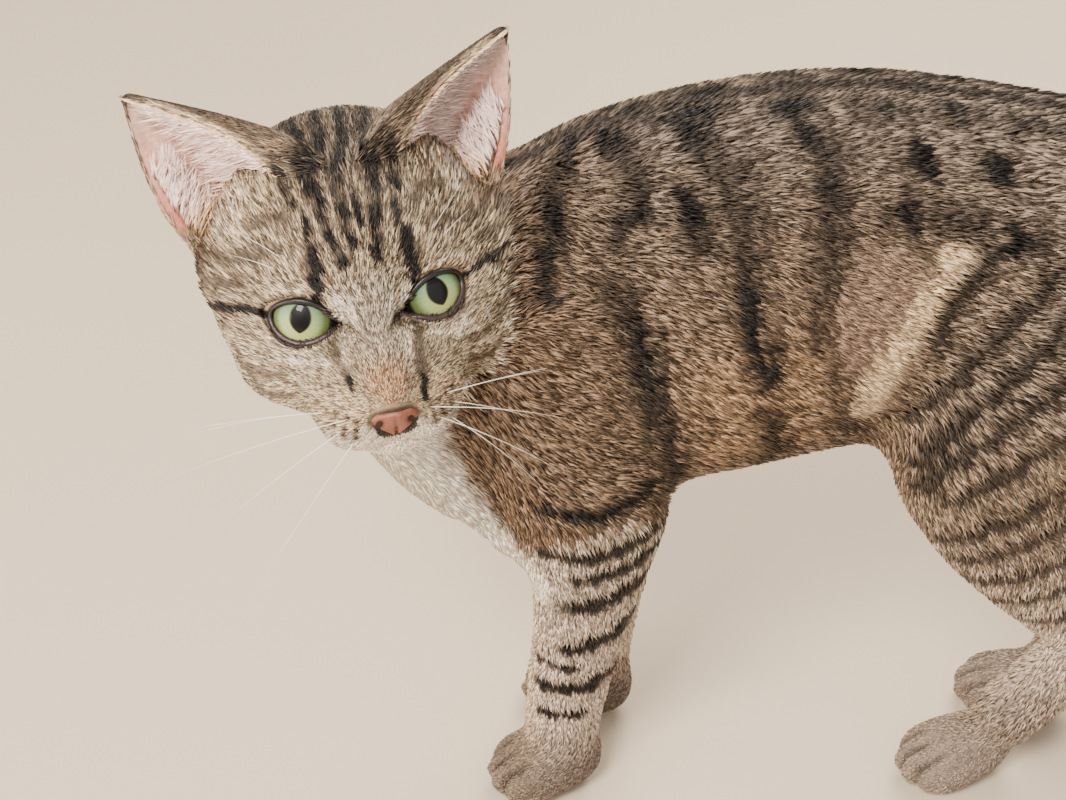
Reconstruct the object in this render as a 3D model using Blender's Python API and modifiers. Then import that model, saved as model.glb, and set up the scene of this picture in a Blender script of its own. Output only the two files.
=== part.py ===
"""A young short-haired mackerel tabby cat at life size, standing still with its head turned to its left.

The cat faces -Y, its left side is +X, up is +Z, and its soles stand on z = 0. The solids are the outline
of the coat. The head is fused from skull and muzzle forms, and the body from lofts and muscles. The body is
cut back around the head and the ears, and parted by thin plates into neck, trunk, tail and legs. The ears
are cupped leaves, and each eye is a plug of an eyeball that fills the opening between the lids.
"""

import math

import bmesh
import bpy
from mathutils import Euler, Matrix, Vector

# --- driving dimensions, in metres ---------------------------------------------------------------
BACK_HEIGHT = 0.2525  # floor to the top of the back
EYE_SPACING = 0.036  # between the centres of the two eyes
EYEBALL_RADIUS = 0.0098
EYE_HALF_WIDTH = 0.0081  # of the opening between the lids
EYE_HALF_HEIGHT = 0.0059
EAR_WALL = 0.0024
GAP = 0.0003  # between two parts that meet
MODEL_SHIFT = Vector((-0.0131, -0.1468, 0.0))  # from the frame of the stance to the middle of the box

FUSING = {  # cell of the fusing, rounds of smoothing, and the share of the faces that is kept
    "head": (0.0014, 17, 0.070),
    "body": (0.0023, 9, 0.034),
}

# --- the stance: where each joint of the standing cat is -----------------------------------------
SOLE_PRESS = 0.0012  # how far the soft pads are flattened by the floor
FORE_PAWS = {"left": Vector((0.0142, 0.0062, 0.0)), "right": Vector((-0.0214, 0.0175, 0.0))}
HIND_PAWS = {"left": Vector((0.0098, 0.1434, 0.0)), "right": Vector((-0.0215, 0.1695, 0.0))}
SIDES = {"left": 1.0, "right": -1.0}
PAW_TURN = {"left": math.radians(14), "right": math.radians(-10)}

# The head's own frame: x to the cat's left, y backwards, z up, its origin midway between the eyes.
HEAD_PLACE = Vector((0.0508, -0.0418, 0.2137))
HEAD_YAW = math.radians(90 + 13.4)
HEAD_PITCH = math.radians(-8.3)
HEAD_ROLL = math.radians(-4.7)

COATS = {
    "tabby": ((0.235, 0.190, 0.150), 0.85),
    "ear": ((0.420, 0.300, 0.250), 0.80),
    "eye": ((0.420, 0.480, 0.220), 0.12),
}


def clear_scene():
    for obj in list(bpy.data.objects):
        bpy.data.objects.remove(obj)


def make_collection(name, hidden=False):
    collection = bpy.data.collections.new(name)
    bpy.context.scene.collection.children.link(collection)
    collection.hide_render = hidden
    return collection


def make_material(name):
    colour, roughness = COATS[name]
    material = bpy.data.materials.new(name)
    material.use_nodes = True
    shader = material.node_tree.nodes["Principled BSDF"]
    shader.inputs["Base Color"].default_value = (*colour, 1.0)
    shader.inputs["Roughness"].default_value = roughness
    shader.inputs["Metallic"].default_value = 0.0
    return material


def object_from(bm, name, collection, material=None):
    """A new object that holds this bmesh, with its faces pointing out."""
    bmesh.ops.recalc_face_normals(bm, faces=bm.faces)
    mesh = bpy.data.meshes.new(name)
    bm.to_mesh(mesh)
    bm.free()
    obj = bpy.data.objects.new(name, mesh)
    collection.objects.link(obj)
    if material:
        mesh.materials.append(material)
    return obj


def evaluated_copy(obj, name, collection):
    """The object with its modifiers applied, as a new object; the old one is removed."""
    bpy.context.view_layer.update()
    graph = bpy.context.evaluated_depsgraph_get()
    mesh = bpy.data.meshes.new_from_object(obj.evaluated_get(graph))
    made = bpy.data.objects.new(name, mesh)
    made.matrix_world = obj.matrix_world.copy()
    collection.objects.link(made)
    bpy.data.objects.remove(obj)
    return made


# --- forms ---------------------------------------------------------------------------------------
def ellipsoid(bm, centre, radii, turn=(0, 0, 0), frame=Matrix.Identity(4)):
    """A muscle or a bone's form: a sphere stretched to its three radii, turned in degrees."""
    rotation = Euler([math.radians(angle) for angle in turn]).to_matrix().to_4x4()
    matrix = frame @ Matrix.Translation(centre) @ rotation @ Matrix.Diagonal((*radii, 1.0))
    bmesh.ops.create_uvsphere(bm, u_segments=24, v_segments=16, radius=1.0, matrix=matrix)


def both_sides(bm, centre, radii, turn=(0, 0, 0), frame=Matrix.Identity(4)):
    """The same form on the left and, mirrored, on the right."""
    ellipsoid(bm, centre, radii, turn, frame)
    x, y, z = centre
    ellipsoid(bm, (-x, y, z), radii, (turn[0], -turn[1], -turn[2]), frame)


def smooth_path(values, t):
    """A point at t, from 0 to 1, on the Catmull-Rom curve through these equal steps."""
    last = len(values) - 1
    place = min(max(t, 0.0), 1.0) * last
    i = min(int(place), last - 1)
    u = place - i
    p = [Vector(values[min(max(k, 0), last)]) for k in (i - 1, i, i + 1, i + 2)]
    a = 2 * p[0] - 5 * p[1] + 4 * p[2] - p[3]
    b = 3 * (p[1] - p[2]) + p[3] - p[0]
    return p[1] + 0.5 * u * ((p[2] - p[0]) + u * (a + u * b))


def loft(bm, stations, side=Vector((1, 0, 0)), rings_per_station=7, corners=20, round_ends=(1.0, 1.0)):
    """A limb through stations of (centre, half width, half depth), closed by rounded ends.

    The half width lies along side, the half depth square to it and to the limb's run. round_ends
    gives how far each end bulges, in half depths.
    """
    centres = [station[0] for station in stations]
    halves = [(station[1], station[2], 0.0) for station in stations]
    steps = rings_per_station * (len(stations) - 1)
    rings = []

    def add_ring(centre, run, width, depth):
        across = (side - run * side.dot(run)).normalized()
        up = run.cross(across)
        rings.append([
            bm.verts.new(centre + across * (width * math.cos(a)) + up * (depth * math.sin(a)))
            for a in (2 * math.pi * k / corners for k in range(corners))
        ])

    def end_rings(t, sign, bulge):
        centre = smooth_path(centres, t)
        width, depth, _ = smooth_path(halves, t)
        run = (smooth_path(centres, min(t + 0.01, 1)) - smooth_path(centres, max(t - 0.01, 0))).normalized()
        angles = [math.radians(a) for a in (72, 50, 25)]
        if sign > 0:
            angles.reverse()
        for angle in angles:
            shrink = math.cos(angle)
            add_ring(centre + run * (sign * bulge * depth * math.sin(angle)), run, width * shrink, depth * shrink)

    end_rings(0.0, -1, round_ends[0])
    for k in range(steps + 1):
        t = k / steps
        run = smooth_path(centres, min(t + 0.01, 1)) - smooth_path(centres, max(t - 0.01, 0))
        width, depth, _ = smooth_path(halves, t)
        add_ring(smooth_path(centres, t), run.normalized(), width, depth)
    end_rings(1.0, 1, round_ends[1])
    for first, second in zip(rings, rings[1:]):
        for k in range(corners):
            bm.faces.new((first[k], first[(k + 1) % corners], second[(k + 1) % corners], second[k]))
    bm.faces.new(rings[0])
    bm.faces.new(rings[-1])


# --- trunk, neck and tail ------------------------------------------------------------------------
def add_trunk(bm):
    """The rib cage, belly and rump: top and bottom lines over the length, and a width at each."""
    lines = (  # along, top, bottom, half width
        (-0.012, BACK_HEIGHT - 0.0335, 0.1280, 0.0330),
        (0.012, BACK_HEIGHT - 0.0195, 0.1220, 0.0405),
        (0.036, BACK_HEIGHT - 0.0085, 0.1255, 0.0440),
        (0.060, BACK_HEIGHT - 0.0020, 0.1325, 0.0455),
        (0.084, BACK_HEIGHT + 0.0008, 0.1390, 0.0450),
        (0.108, BACK_HEIGHT - 0.0005, 0.1435, 0.0430),
        (0.132, BACK_HEIGHT - 0.0045, 0.1475, 0.0405),
        (0.156, BACK_HEIGHT - 0.0105, 0.1505, 0.0385),
        (0.180, BACK_HEIGHT - 0.0210, 0.1580, 0.0345),
        (0.200, BACK_HEIGHT - 0.0315, 0.1720, 0.0260),
    )
    stations = [
        (Vector((0.0, along, (top + bottom) / 2)), half, (top - bottom) / 2)
        for along, top, bottom, half in lines
    ]
    loft(bm, stations, rings_per_station=4, corners=32, round_ends=(0.55, 0.5))


def add_neck(bm):
    """The neck rises forwards from the shoulders and bends to meet the back of the turned head."""
    stations = [
        (Vector((0.000, 0.030, 0.186)), 0.0400, 0.0500),
        (Vector((0.001, 0.002, 0.180)), 0.0385, 0.0500),
        (Vector((0.004, -0.024, 0.182)), 0.0360, 0.0470),
        (Vector((0.008, -0.043, 0.194)), 0.0330, 0.0410),
    ]
    loft(bm, stations, corners=28, round_ends=(0.3, 0.45))
    ellipsoid(bm, (0.020, -0.040, 0.176), (0.026, 0.022, 0.030), (0, 30, 0))  # throat, under the jaw
    breast = [  # down the front of the chest and back between the forelegs
        (Vector((0.019, -0.036, 0.178)), 0.0245, 0.0250),
        (Vector((0.012, -0.025, 0.158)), 0.0265, 0.0295),
        (Vector((0.007, -0.009, 0.140)), 0.0270, 0.0310),
        (Vector((0.003, 0.012, 0.135)), 0.0250, 0.0230),
        (Vector((0.000, 0.033, 0.144)), 0.0240, 0.0170),
    ]
    loft(bm, breast, corners=24, round_ends=(0.5, 0.5))
    ellipsoid(bm, (0.012, -0.0025, 0.116), (0.0165, 0.0165, 0.0165))  # tuft low on the breast


TAIL_STATIONS = (  # centre and half thickness, from the rump to the tip
    ((0.0, 0.196, 0.2120), 0.0170),
    ((0.0, 0.216, 0.1990), 0.0140),
    ((0.0, 0.235, 0.1730), 0.0122),
    ((-0.002, 0.252, 0.1400), 0.0115),
    ((-0.006, 0.272, 0.1090), 0.0112),
    ((-0.012, 0.298, 0.0840), 0.0110),
    ((-0.019, 0.330, 0.0700), 0.0106),
    ((-0.026, 0.364, 0.0700), 0.0096),
    ((-0.032, 0.392, 0.0840), 0.0068),
)


def add_tail(bm):
    stations = [(Vector(centre), half, half) for centre, half in TAIL_STATIONS]
    loft(bm, stations, rings_per_station=5, corners=16, round_ends=(0.5, 1.3))


# --- legs ----------------------------------------------------------------------------------------
def paw_frame(side, place):
    return Matrix.Translation(place - Vector((0, 0, SOLE_PRESS))) @ Matrix.Rotation(PAW_TURN[side], 4, "Z")


def add_paw(bm, frame, length, half_width):
    """A paw: its body, the heel pad behind it and four toes, the middle two longer."""
    ellipsoid(bm, (0, 0.0, 0.0118), (half_width, length * 0.42, 0.0118), (8, 0, 0), frame)
    ellipsoid(bm, (0, length * 0.22, 0.0130), (half_width * 0.78, 0.0110, 0.0118), (0, 0, 0), frame)
    for across, reach, fan in ((-0.74, 0.70, 13), (-0.26, 0.92, 4), (0.26, 0.92, -4), (0.74, 0.70, -13)):
        centre = (half_width * across, -length * 0.42 * reach, 0.0088)
        ellipsoid(bm, centre, (half_width * 0.30, length * 0.29, 0.0084), (14, 0, fan), frame)


def add_foreleg(bm, side):
    sign, paw = SIDES[side], FORE_PAWS[side]
    stations = [
        (Vector((sign * 0.0250, 0.004, 0.196)), 0.0200, 0.0330),
        (Vector((sign * 0.0285, 0.008, 0.166)), 0.0205, 0.0305),
        (Vector((sign * 0.0290, 0.0168, 0.138)), 0.0190, 0.0250),
        (paw + Vector((sign * 0.0095, 0.0108, 0.110)), 0.0165, 0.0206),
        (paw + Vector((sign * 0.0052, 0.0094, 0.083)), 0.0143, 0.0167),
        (paw + Vector((sign * 0.0015, 0.0064, 0.056)), 0.0125, 0.0150),
        (paw + Vector((0.0000, 0.0040, 0.034)), 0.0120, 0.0138),
        (paw + Vector((0.0000, 0.0030, 0.018)), 0.0125, 0.0130),
    ]
    loft(bm, stations, corners=20, round_ends=(0.4, 0.5))
    add_paw(bm, paw_frame(side, paw), 0.0350, 0.0140)


def add_hindleg(bm, side):
    sign, paw = SIDES[side], HIND_PAWS[side]
    ahead = paw.y - HIND_PAWS["left"].y  # how far back this foot stands behind the left one
    stations = [
        (Vector((sign * 0.0190, 0.163, 0.200)), 0.0195, 0.0320),
        (Vector((sign * 0.0275, 0.148, 0.182)), 0.0225, 0.0400),
        (Vector((sign * 0.0305, 0.131 + ahead * 0.3, 0.158)), 0.0205, 0.0330),
        (Vector((sign * 0.0290, 0.137 + ahead * 0.5, 0.131)), 0.0170, 0.0265),
        (Vector((sign * 0.0245, 0.148 + ahead * 0.7, 0.108)), 0.0140, 0.0205),
        (paw + Vector((sign * 0.0070, 0.0205, 0.084)), 0.0118, 0.0165),
        (paw + Vector((sign * 0.0035, 0.0335, 0.065)), 0.0108, 0.0135),
        (paw + Vector((0.0010, 0.0260, 0.046)), 0.0115, 0.0128),
        (paw + Vector((0.0000, 0.0120, 0.026)), 0.0125, 0.0125),
    ]
    loft(bm, stations, corners=20, round_ends=(0.4, 0.6))
    hock = paw + Vector((sign * 0.003, 0.0425, 0.070))
    ellipsoid(bm, hock, (0.0085, 0.0100, 0.0120), (25, 0, 0))
    buttock = (sign * 0.0225, 0.178, 0.180)
    ellipsoid(bm, buttock, (0.0190, 0.0290, 0.0400), (-14, 0, 0))
    add_paw(bm, paw_frame(side, paw), 0.0360, 0.0134)


# --- head ----------------------------------------------------------------------------------------
def head_matrix():
    yaw = Matrix.Rotation(HEAD_YAW, 4, "Z")
    pitch = Matrix.Rotation(HEAD_PITCH, 4, "X")
    roll = Matrix.Rotation(HEAD_ROLL, 4, "Y")
    return Matrix.Translation(HEAD_PLACE) @ yaw @ roll @ pitch


def add_head(bm, frame):
    """Skull, cheeks, brows, muzzle and chin, in the head's own frame."""
    ellipsoid(bm, (0, 0.0325, 0.0095), (0.0365, 0.0325, 0.0330), (0, 0, 0), frame)  # brain case
    ellipsoid(bm, (0, 0.0480, -0.0060), (0.0300, 0.0230, 0.0270), (0, 0, 0), frame)  # occiput
    ellipsoid(bm, (0, 0.0145, 0.0140), (0.0260, 0.0160, 0.0200), (25, 0, 0), frame)  # forehead
    ellipsoid(bm, (0, 0.0040, 0.0030), (0.0125, 0.0085, 0.0110), (0, 0, 0), frame)  # between the eyes
    both_sides(bm, (0.0210, 0.0300, 0.0040), (0.0200, 0.0220, 0.0190), (0, 0, 0), frame)  # temples
    both_sides(bm, (0.0200, 0.0180, -0.0050), (0.0195, 0.0175, 0.0150), (0, 0, 0), frame)  # cheekbones
    both_sides(bm, (0.0180, 0.0175, -0.0165), (0.0195, 0.0190, 0.0150), (0, 0, 12), frame)  # cheeks
    both_sides(bm, (0.0145, 0.0080, 0.0110), (0.0120, 0.0095, 0.0075), (15, 0, 22), frame)  # brows
    both_sides(bm, (0.0110, -0.0012, -0.0135), (0.0115, 0.0145, 0.0115), (20, 0, 18), frame)  # by the nose
    both_sides(bm, (0.0185, 0.0080, -0.0150), (0.0165, 0.0150, 0.0125), (0, 0, 20), frame)  # under eye
    ellipsoid(bm, (0, -0.0065, -0.0075), (0.0112, 0.0195, 0.0090), (42, 0, 0), frame)  # bridge
    ellipsoid(bm, (0, -0.0190, -0.0170), (0.0070, 0.0082, 0.0068), (15, 0, 0), frame)  # nose
    both_sides(bm, (0.0080, -0.0108, -0.0255), (0.0094, 0.0124, 0.0090), (0, 0, 10), frame)  # lips
    ellipsoid(bm, (0, -0.0075, -0.0345), (0.0102, 0.0120, 0.0084), (0, 0, 0), frame)  # chin
    ellipsoid(bm, (0, 0.0150, -0.0290), (0.0230, 0.0260, 0.0135), (-8, 0, 0), frame)  # jaw


def almond(bm, centre, side, grow, depth, frame):
    """A prism with the outline of the opening between the lids, along the eye's gaze."""
    corners = 22
    gaze = gaze_frame(centre, side, frame)
    rings = []
    for along in (-depth, depth):
        ring = []
        for k in range(corners):
            angle = 2 * math.pi * k / corners
            x = math.cos(angle)
            z = math.sin(angle) * (1 - 0.16 * x * x)
            half_height = EYE_HALF_HEIGHT * (0.86 if z > 0 else 1.0)
            point = Vector((x * (EYE_HALF_WIDTH + grow), along, z * (half_height + grow)))
            ring.append(bm.verts.new(gaze @ point))
        rings.append(ring)
    for k in range(corners):
        bm.faces.new((rings[0][k], rings[0][(k + 1) % corners], rings[1][(k + 1) % corners], rings[1][k]))
    bm.faces.new(rings[0])
    bm.faces.new(rings[1])


EYE_OUTWARD = math.radians(17)
EYE_UPWARD = math.radians(14)
EYE_SLANT = math.radians(10)  # the outer corner is higher than the inner one


def gaze_frame(centre, side, frame):
    turn = Matrix.Rotation(side * EYE_OUTWARD, 4, "Z") @ Matrix.Rotation(-EYE_UPWARD, 4, "X")
    return frame @ Matrix.Translation(centre) @ turn @ Matrix.Rotation(-side * EYE_SLANT, 4, "Y")


# --- ears ----------------------------------------------------------------------------------------
EAR_INNER_FOOT = Vector((0.0160, 0.0160, 0.0305))  # of the left ear, in the head's frame
EAR_OUTER_FOOT = Vector((0.0415, 0.0330, 0.0120))
EAR_TIP = Vector((0.0505, 0.0365, 0.0545))
EAR_CUP = 0.0155  # depth of the hollow at the foot
INNER_SWELL = 0.0065  # how far each edge bows out
OUTER_SWELL = 0.0038
EAR_FOOT = 0.12  # share of the height that goes on down into the head
EAR_ROOT = 0.0100  # extra thickness behind the inner foot, where the ear runs into the crown


def add_ear(bm, side, frame):
    """A pricked ear: a cupped leaf with two faces, from the base up to the tip."""
    rows, columns = 9, 8
    base = (EAR_OUTER_FOOT - EAR_INNER_FOOT).normalized()
    rise = EAR_TIP - (EAR_INNER_FOOT + EAR_OUTER_FOOT) / 2
    backwards = rise.cross(base).normalized()
    mirrored = frame @ Matrix.Diagonal((side, 1, 1, 1))

    def place(across, up, behind):
        bulge = math.sin(math.pi * max(up, 0.0) ** 0.8)
        inner = EAR_INNER_FOOT.lerp(EAR_TIP, up) - base * (INNER_SWELL * bulge)
        outer = EAR_OUTER_FOOT.lerp(EAR_TIP, up) + base * (OUTER_SWELL * bulge)
        hollow = EAR_CUP * (1 - up) ** 0.6 * (4 * across * (1 - across)) ** 0.8
        point = inner.lerp(outer, across) + backwards * hollow
        if behind:
            turn = math.radians(65 - 95 * across)
            root = EAR_ROOT * (1 - max(up, 0.0)) ** 1.6 * (1 - across) ** 1.5
            thickness = EAR_WALL * (1 - 0.5 * up) + root
            point += (backwards * math.cos(turn) - base * math.sin(turn)) * thickness
        return bm.verts.new(mirrored @ point)

    faces = []
    for behind in (False, True):
        grid = []
        for i in range(rows):
            up = -EAR_FOOT + (1 + EAR_FOOT) * i / rows
            grid.append([place(j / columns, up, behind) for j in range(columns + 1)])
        tip = place(0.5, 1.0, behind)
        for lower, upper in zip(grid, grid[1:]):
            for j in range(columns):
                bm.faces.new((lower[j], lower[j + 1], upper[j + 1], upper[j]))
        for first, second in zip(grid[-1], grid[-1][1:]):
            bm.faces.new((first, second, tip))
        faces.append([row[0] for row in grid] + [tip] + [row[-1] for row in reversed(grid)] + grid[0][-2:0:-1])
    front, back = faces
    for k in range(len(front)):
        bm.faces.new((front[k - 1], front[k], back[k], back[k - 1]))


# --- the cuts that part the fused body -----------------------------------------------------------
def slab(name, centre, normal, across, along):
    """A thin cutter: a plate square to its normal, this wide towards +X and this long the other way."""
    normal = Vector(normal).normalized()
    side = (Vector((1, 0, 0)) - normal * normal.x).normalized()
    turn = Matrix((side, normal.cross(side), normal)).transposed().to_4x4()
    bm = bmesh.new()
    matrix = Matrix.Translation(centre) @ turn @ Matrix.Diagonal((across, along, GAP, 1.0))
    bmesh.ops.create_cube(bm, size=1.0, matrix=matrix)
    return cutter(object_from(bm, name, cutters))


def cutter(obj):
    obj.hide_render = True
    obj.display_type = "WIRE"
    return obj


def cut(obj, tool, operation="DIFFERENCE"):
    modifier = obj.modifiers.new(tool.name, "BOOLEAN")
    modifier.operation = operation
    modifier.object = tool
    modifier.solver = "MANIFOLD"


NECK_CUT = (0.0, -0.0200, 0.1750)
NECK_CUT_NORMAL = (0.0, -1.0, 0.30)
TAIL_CUT = (0.0, 0.2270, 0.1850)
TAIL_CUT_NORMAL = (0.0, 0.60, -0.80)
FORELEG_CUT = (0.0340, 0.0140, 0.1260)  # for a left foot that stands at 0; x is mirrored for the right
FORELEG_CUT_NORMAL = (-0.62, -0.20, 0.74)
HINDLEG_CUT = (0.0340, 0.1450, 0.1595)
HINDLEG_CUT_NORMAL = (-0.60, -0.33, 0.76)


def body_cutters():
    """The plates between neck, trunk, tail and legs."""
    plates = [
        slab("cut_neck", NECK_CUT, NECK_CUT_NORMAL, 0.130, 0.180),
        slab("cut_tail", TAIL_CUT, TAIL_CUT_NORMAL, 0.040, 0.040),
    ]
    for side, sign in SIDES.items():
        for limb, centre, normal, behind, length in (
            ("foreleg", FORELEG_CUT, FORELEG_CUT_NORMAL, FORE_PAWS[side].y * 0.6, 0.084),
            ("hindleg", HINDLEG_CUT, HINDLEG_CUT_NORMAL, 0.0, 0.160),
        ):
            place = (sign * centre[0], centre[1] + behind, centre[2])
            facing = (sign * normal[0], normal[1], normal[2])
            plates.append(slab("cut_" + limb + "_" + side, place, facing, 0.084, length))
    return plates


def split_parts(whole, landmarks):
    """Each loose piece of the cut body becomes an object, named for the landmark nearest to its middle."""
    bm = bmesh.new()
    bm.from_mesh(whole.data)
    unseen = set(bm.verts)
    while unseen:
        shell, edge = set(), [unseen.pop()]
        while edge:
            vert = edge.pop()
            shell.add(vert)
            for link in vert.link_edges:
                other = link.other_vert(vert)
                if other in unseen:
                    unseen.remove(other)
                    edge.append(other)
        faces = {face for vert in shell for face in vert.link_faces}
        index = {vert: i for i, vert in enumerate(shell)}
        middle = sum((vert.co for vert in shell), Vector()) / len(shell)
        name = min(landmarks, key=lambda key: (landmarks[key] - middle).length)
        piece = bmesh.new()
        corners = [piece.verts.new(vert.co) for vert in shell]
        for face in faces:
            piece.faces.new([corners[index[vert]] for vert in face.verts])
        object_from(piece, name, parts, materials["tabby"])
    bm.free()
    bpy.data.objects.remove(whole)


def fused(bm, name):
    """The forms in this bmesh as one closed surface: fused, smoothed and thinned."""
    voxel, rounds, share = FUSING[name]
    obj = object_from(bm, name, cutters)
    fuse = obj.modifiers.new("fuse", "REMESH")
    fuse.mode = "VOXEL"
    fuse.voxel_size = voxel
    soften = obj.modifiers.new("soften", "SMOOTH")
    soften.iterations = rounds
    soften.factor = 0.5
    thin = obj.modifiers.new("thin", "DECIMATE")
    thin.ratio = share
    return evaluated_copy(obj, name, cutters)


def hull(obj, name):
    """A copy of the object's outer form with no hollow in it."""
    bm = bmesh.new()
    for vert in obj.data.vertices:
        bm.verts.new(vert.co)
    made = bmesh.ops.convex_hull(bm, input=bm.verts)
    inside = {vert for key in ("geom_interior", "geom_unused") for vert in made[key]}
    bmesh.ops.delete(bm, geom=list(inside), context="VERTS")
    return cutter(object_from(bm, name, cutters))


def swollen(obj, name, by):
    """A copy of a closed surface, moved out along its normals, to cut a neighbour with a gap."""
    mesh = obj.data.copy()
    shape = bpy.data.objects.new(name, mesh)
    cutters.objects.link(shape)
    swell = shape.modifiers.new("swell", "DISPLACE")
    swell.strength = by
    swell.mid_level = 0.0
    return cutter(evaluated_copy(shape, name, cutters))


def ground_cutter():
    bm = bmesh.new()
    matrix = Matrix.Translation((0, 0.1, -0.02)) @ Matrix.Diagonal((0.4, 0.8, 0.04, 1.0))
    bmesh.ops.create_cube(bm, size=1.0, matrix=matrix)
    return cutter(object_from(bm, "ground", cutters))


clear_scene()
parts = make_collection("cat")
cutters = make_collection("cutters", hidden=True)
materials = {name: make_material(name) for name in COATS}
head_frame = head_matrix()

skull = bmesh.new()
add_head(skull, head_frame)
head = fused(skull, "head")
around_head = swollen(head, "around_head", GAP)

around_ears = []
for side, sign in SIDES.items():
    leaf = bmesh.new()
    add_ear(leaf, sign, head_frame)
    ear = object_from(leaf, "ear_" + side, parts, materials["ear"])
    around_ears.append(hull(swollen(ear, "swollen_ear_" + side, GAP), "around_ear_" + side))
    cut(ear, around_head)

flesh = bmesh.new()
add_trunk(flesh)
add_neck(flesh)
add_tail(flesh)
for side in SIDES:
    add_foreleg(flesh, side)
    add_hindleg(flesh, side)
body = fused(flesh, "body")
cut(body, ground_cutter())
for tool in [around_head, *around_ears, *body_cutters()]:
    cut(body, tool)
body = evaluated_copy(body, "body", cutters)
split_parts(body, {
    "neck": Vector((0.003, -0.025, 0.175)),
    "trunk": Vector((0, 0.090, 0.195)),
    "tail": Vector((-0.010, 0.300, 0.100)),
    "foreleg_left": FORE_PAWS["left"] + Vector((0, 0.01, 0.05)),
    "foreleg_right": FORE_PAWS["right"] + Vector((0, 0.01, 0.05)),
    "hindleg_left": HIND_PAWS["left"] + Vector((0, 0.01, 0.06)),
    "hindleg_right": HIND_PAWS["right"] + Vector((0, 0.01, 0.06)),
})

for side, sign in SIDES.items():
    eye_centre = (sign * EYE_SPACING / 2, 0.0, 0.0)
    gaze = gaze_frame(eye_centre, sign, head_frame)
    opening = bmesh.new()
    almond(opening, eye_centre, sign, GAP, 0.0165, head_frame)
    cut(head, cutter(object_from(opening, "socket_" + side, cutters)))
    ball = bmesh.new()
    back = Matrix.Translation((0, EYEBALL_RADIUS * 0.88, 0))
    bmesh.ops.create_uvsphere(ball, u_segments=16, v_segments=11, radius=EYEBALL_RADIUS,
                              matrix=gaze @ back @ Matrix.Rotation(math.pi / 2, 4, "X"))
    eye = object_from(ball, "eye_" + side, parts, materials["eye"])
    lids = bmesh.new()
    almond(lids, eye_centre, sign, 0.0, 0.0160, head_frame)
    cut(eye, cutter(object_from(lids, "lids_" + side, cutters)), "INTERSECT")

head = evaluated_copy(head, "head_shape", cutters)
split_parts(head, {"head": Vector((0.04, -0.05, 0.215))})
for obj in bpy.data.objects:
    obj.location = MODEL_SHIFT
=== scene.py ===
import math

import bmesh
import bpy
import numpy as np
from mathutils import Matrix, Vector
from mathutils.bvhtree import BVHTree


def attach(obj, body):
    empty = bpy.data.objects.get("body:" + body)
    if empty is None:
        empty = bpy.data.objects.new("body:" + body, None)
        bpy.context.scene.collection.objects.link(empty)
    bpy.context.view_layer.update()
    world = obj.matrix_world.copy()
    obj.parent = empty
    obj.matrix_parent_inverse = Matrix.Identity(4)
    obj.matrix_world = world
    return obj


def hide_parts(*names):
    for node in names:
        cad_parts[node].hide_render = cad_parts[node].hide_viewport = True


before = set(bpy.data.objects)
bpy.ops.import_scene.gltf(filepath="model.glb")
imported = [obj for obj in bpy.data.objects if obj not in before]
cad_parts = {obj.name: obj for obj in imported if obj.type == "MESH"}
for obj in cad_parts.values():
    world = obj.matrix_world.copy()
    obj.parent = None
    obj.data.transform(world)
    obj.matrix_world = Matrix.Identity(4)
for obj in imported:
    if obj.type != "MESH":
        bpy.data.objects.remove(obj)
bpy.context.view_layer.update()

# ---------------------------------------------------------------- Floor, camera and lamps
# A plain pale studio floor, which the model stands on. The camera looks down on the cat's left
# side from a little above its head. Four soft lamps and a dim room light it warmly and evenly.
FLOOR_WIDTH = 8.0
CAMERA_PLACE = (0.4445, -0.1468, 0.4800)
CAMERA_PITCH = 36
LENS = 64.17
LAMPS = {
    "key": ((0.92, -0.60, 1.30), 0.45, 38, (1.0, 0.94, 0.865)),
    "fill": ((1.30, 0.75, 0.75), 1.7, 11, (0.98, 0.98, 1.0)),
    "rim": ((-0.95, 0.30, 1.25), 0.9, 28, (1.0, 0.92, 0.80)),
    "bounce": ((0.45, -1.15, 0.22), 0.9, 22, (1.0, 0.92, 0.82)),
}
LAMP_TARGET = Vector((0, -0.03, 0.15))
ROOM_TINT = (1.0, 0.94, 0.86, 1)
ROOM_STRENGTH = 0.6


def tone(red, green, blue):
    """A colour given as a paint chip's 0 to 255 values, as the linear colour that shaders take."""
    chip = np.array((red, green, blue)) / 255
    return np.where(chip <= 0.04045, chip / 12.92, ((chip + 0.055) / 1.055) ** 2.4)


def new_material(name, roughness, specular):
    """A Principled material and its nodes: (material, nodes, links, shader)."""
    material = bpy.data.materials.new(name)
    material.use_nodes = True
    nodes = material.node_tree.nodes
    shader = nodes["Principled BSDF"]
    shader.inputs["Roughness"].default_value = roughness
    shader.inputs["Specular IOR Level"].default_value = specular
    return material, nodes, material.node_tree.links, shader


def wire(links, *runs):
    """Joins sockets. Each run is a node, its output, the next node and its input."""
    for source, leaving, target, entering in runs:
        links.new(source.outputs[leaving], target.inputs[entering])


def placed(name, data, *finishes):
    """A new object in the scene, with the finishes on its mesh."""
    for finish in finishes:
        data.materials.append(finish)
    item = bpy.data.objects.new(name, data)
    bpy.context.scene.collection.objects.link(item)
    return item


def floor_finish():
    material, nodes, links, shader = new_material("floor_finish", 0.55, 0.3)
    place = nodes.new("ShaderNodeTexCoord")
    clouds = nodes.new("ShaderNodeTexNoise")
    clouds.inputs["Scale"].default_value = 2.2
    clouds.inputs["Detail"].default_value = 5
    shade = nodes.new("ShaderNodeMix")
    shade.data_type = "RGBA"
    shade.inputs["A"].default_value = (*tone(208, 190, 166), 1)
    shade.inputs["B"].default_value = (*tone(218, 200, 178), 1)
    wire(
        links,
        (place, "Object", clouds, "Vector"),
        (clouds, "Fac", shade, "Factor"),
        (shade, "Result", shader, "Base Color"),
    )
    return material


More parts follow.
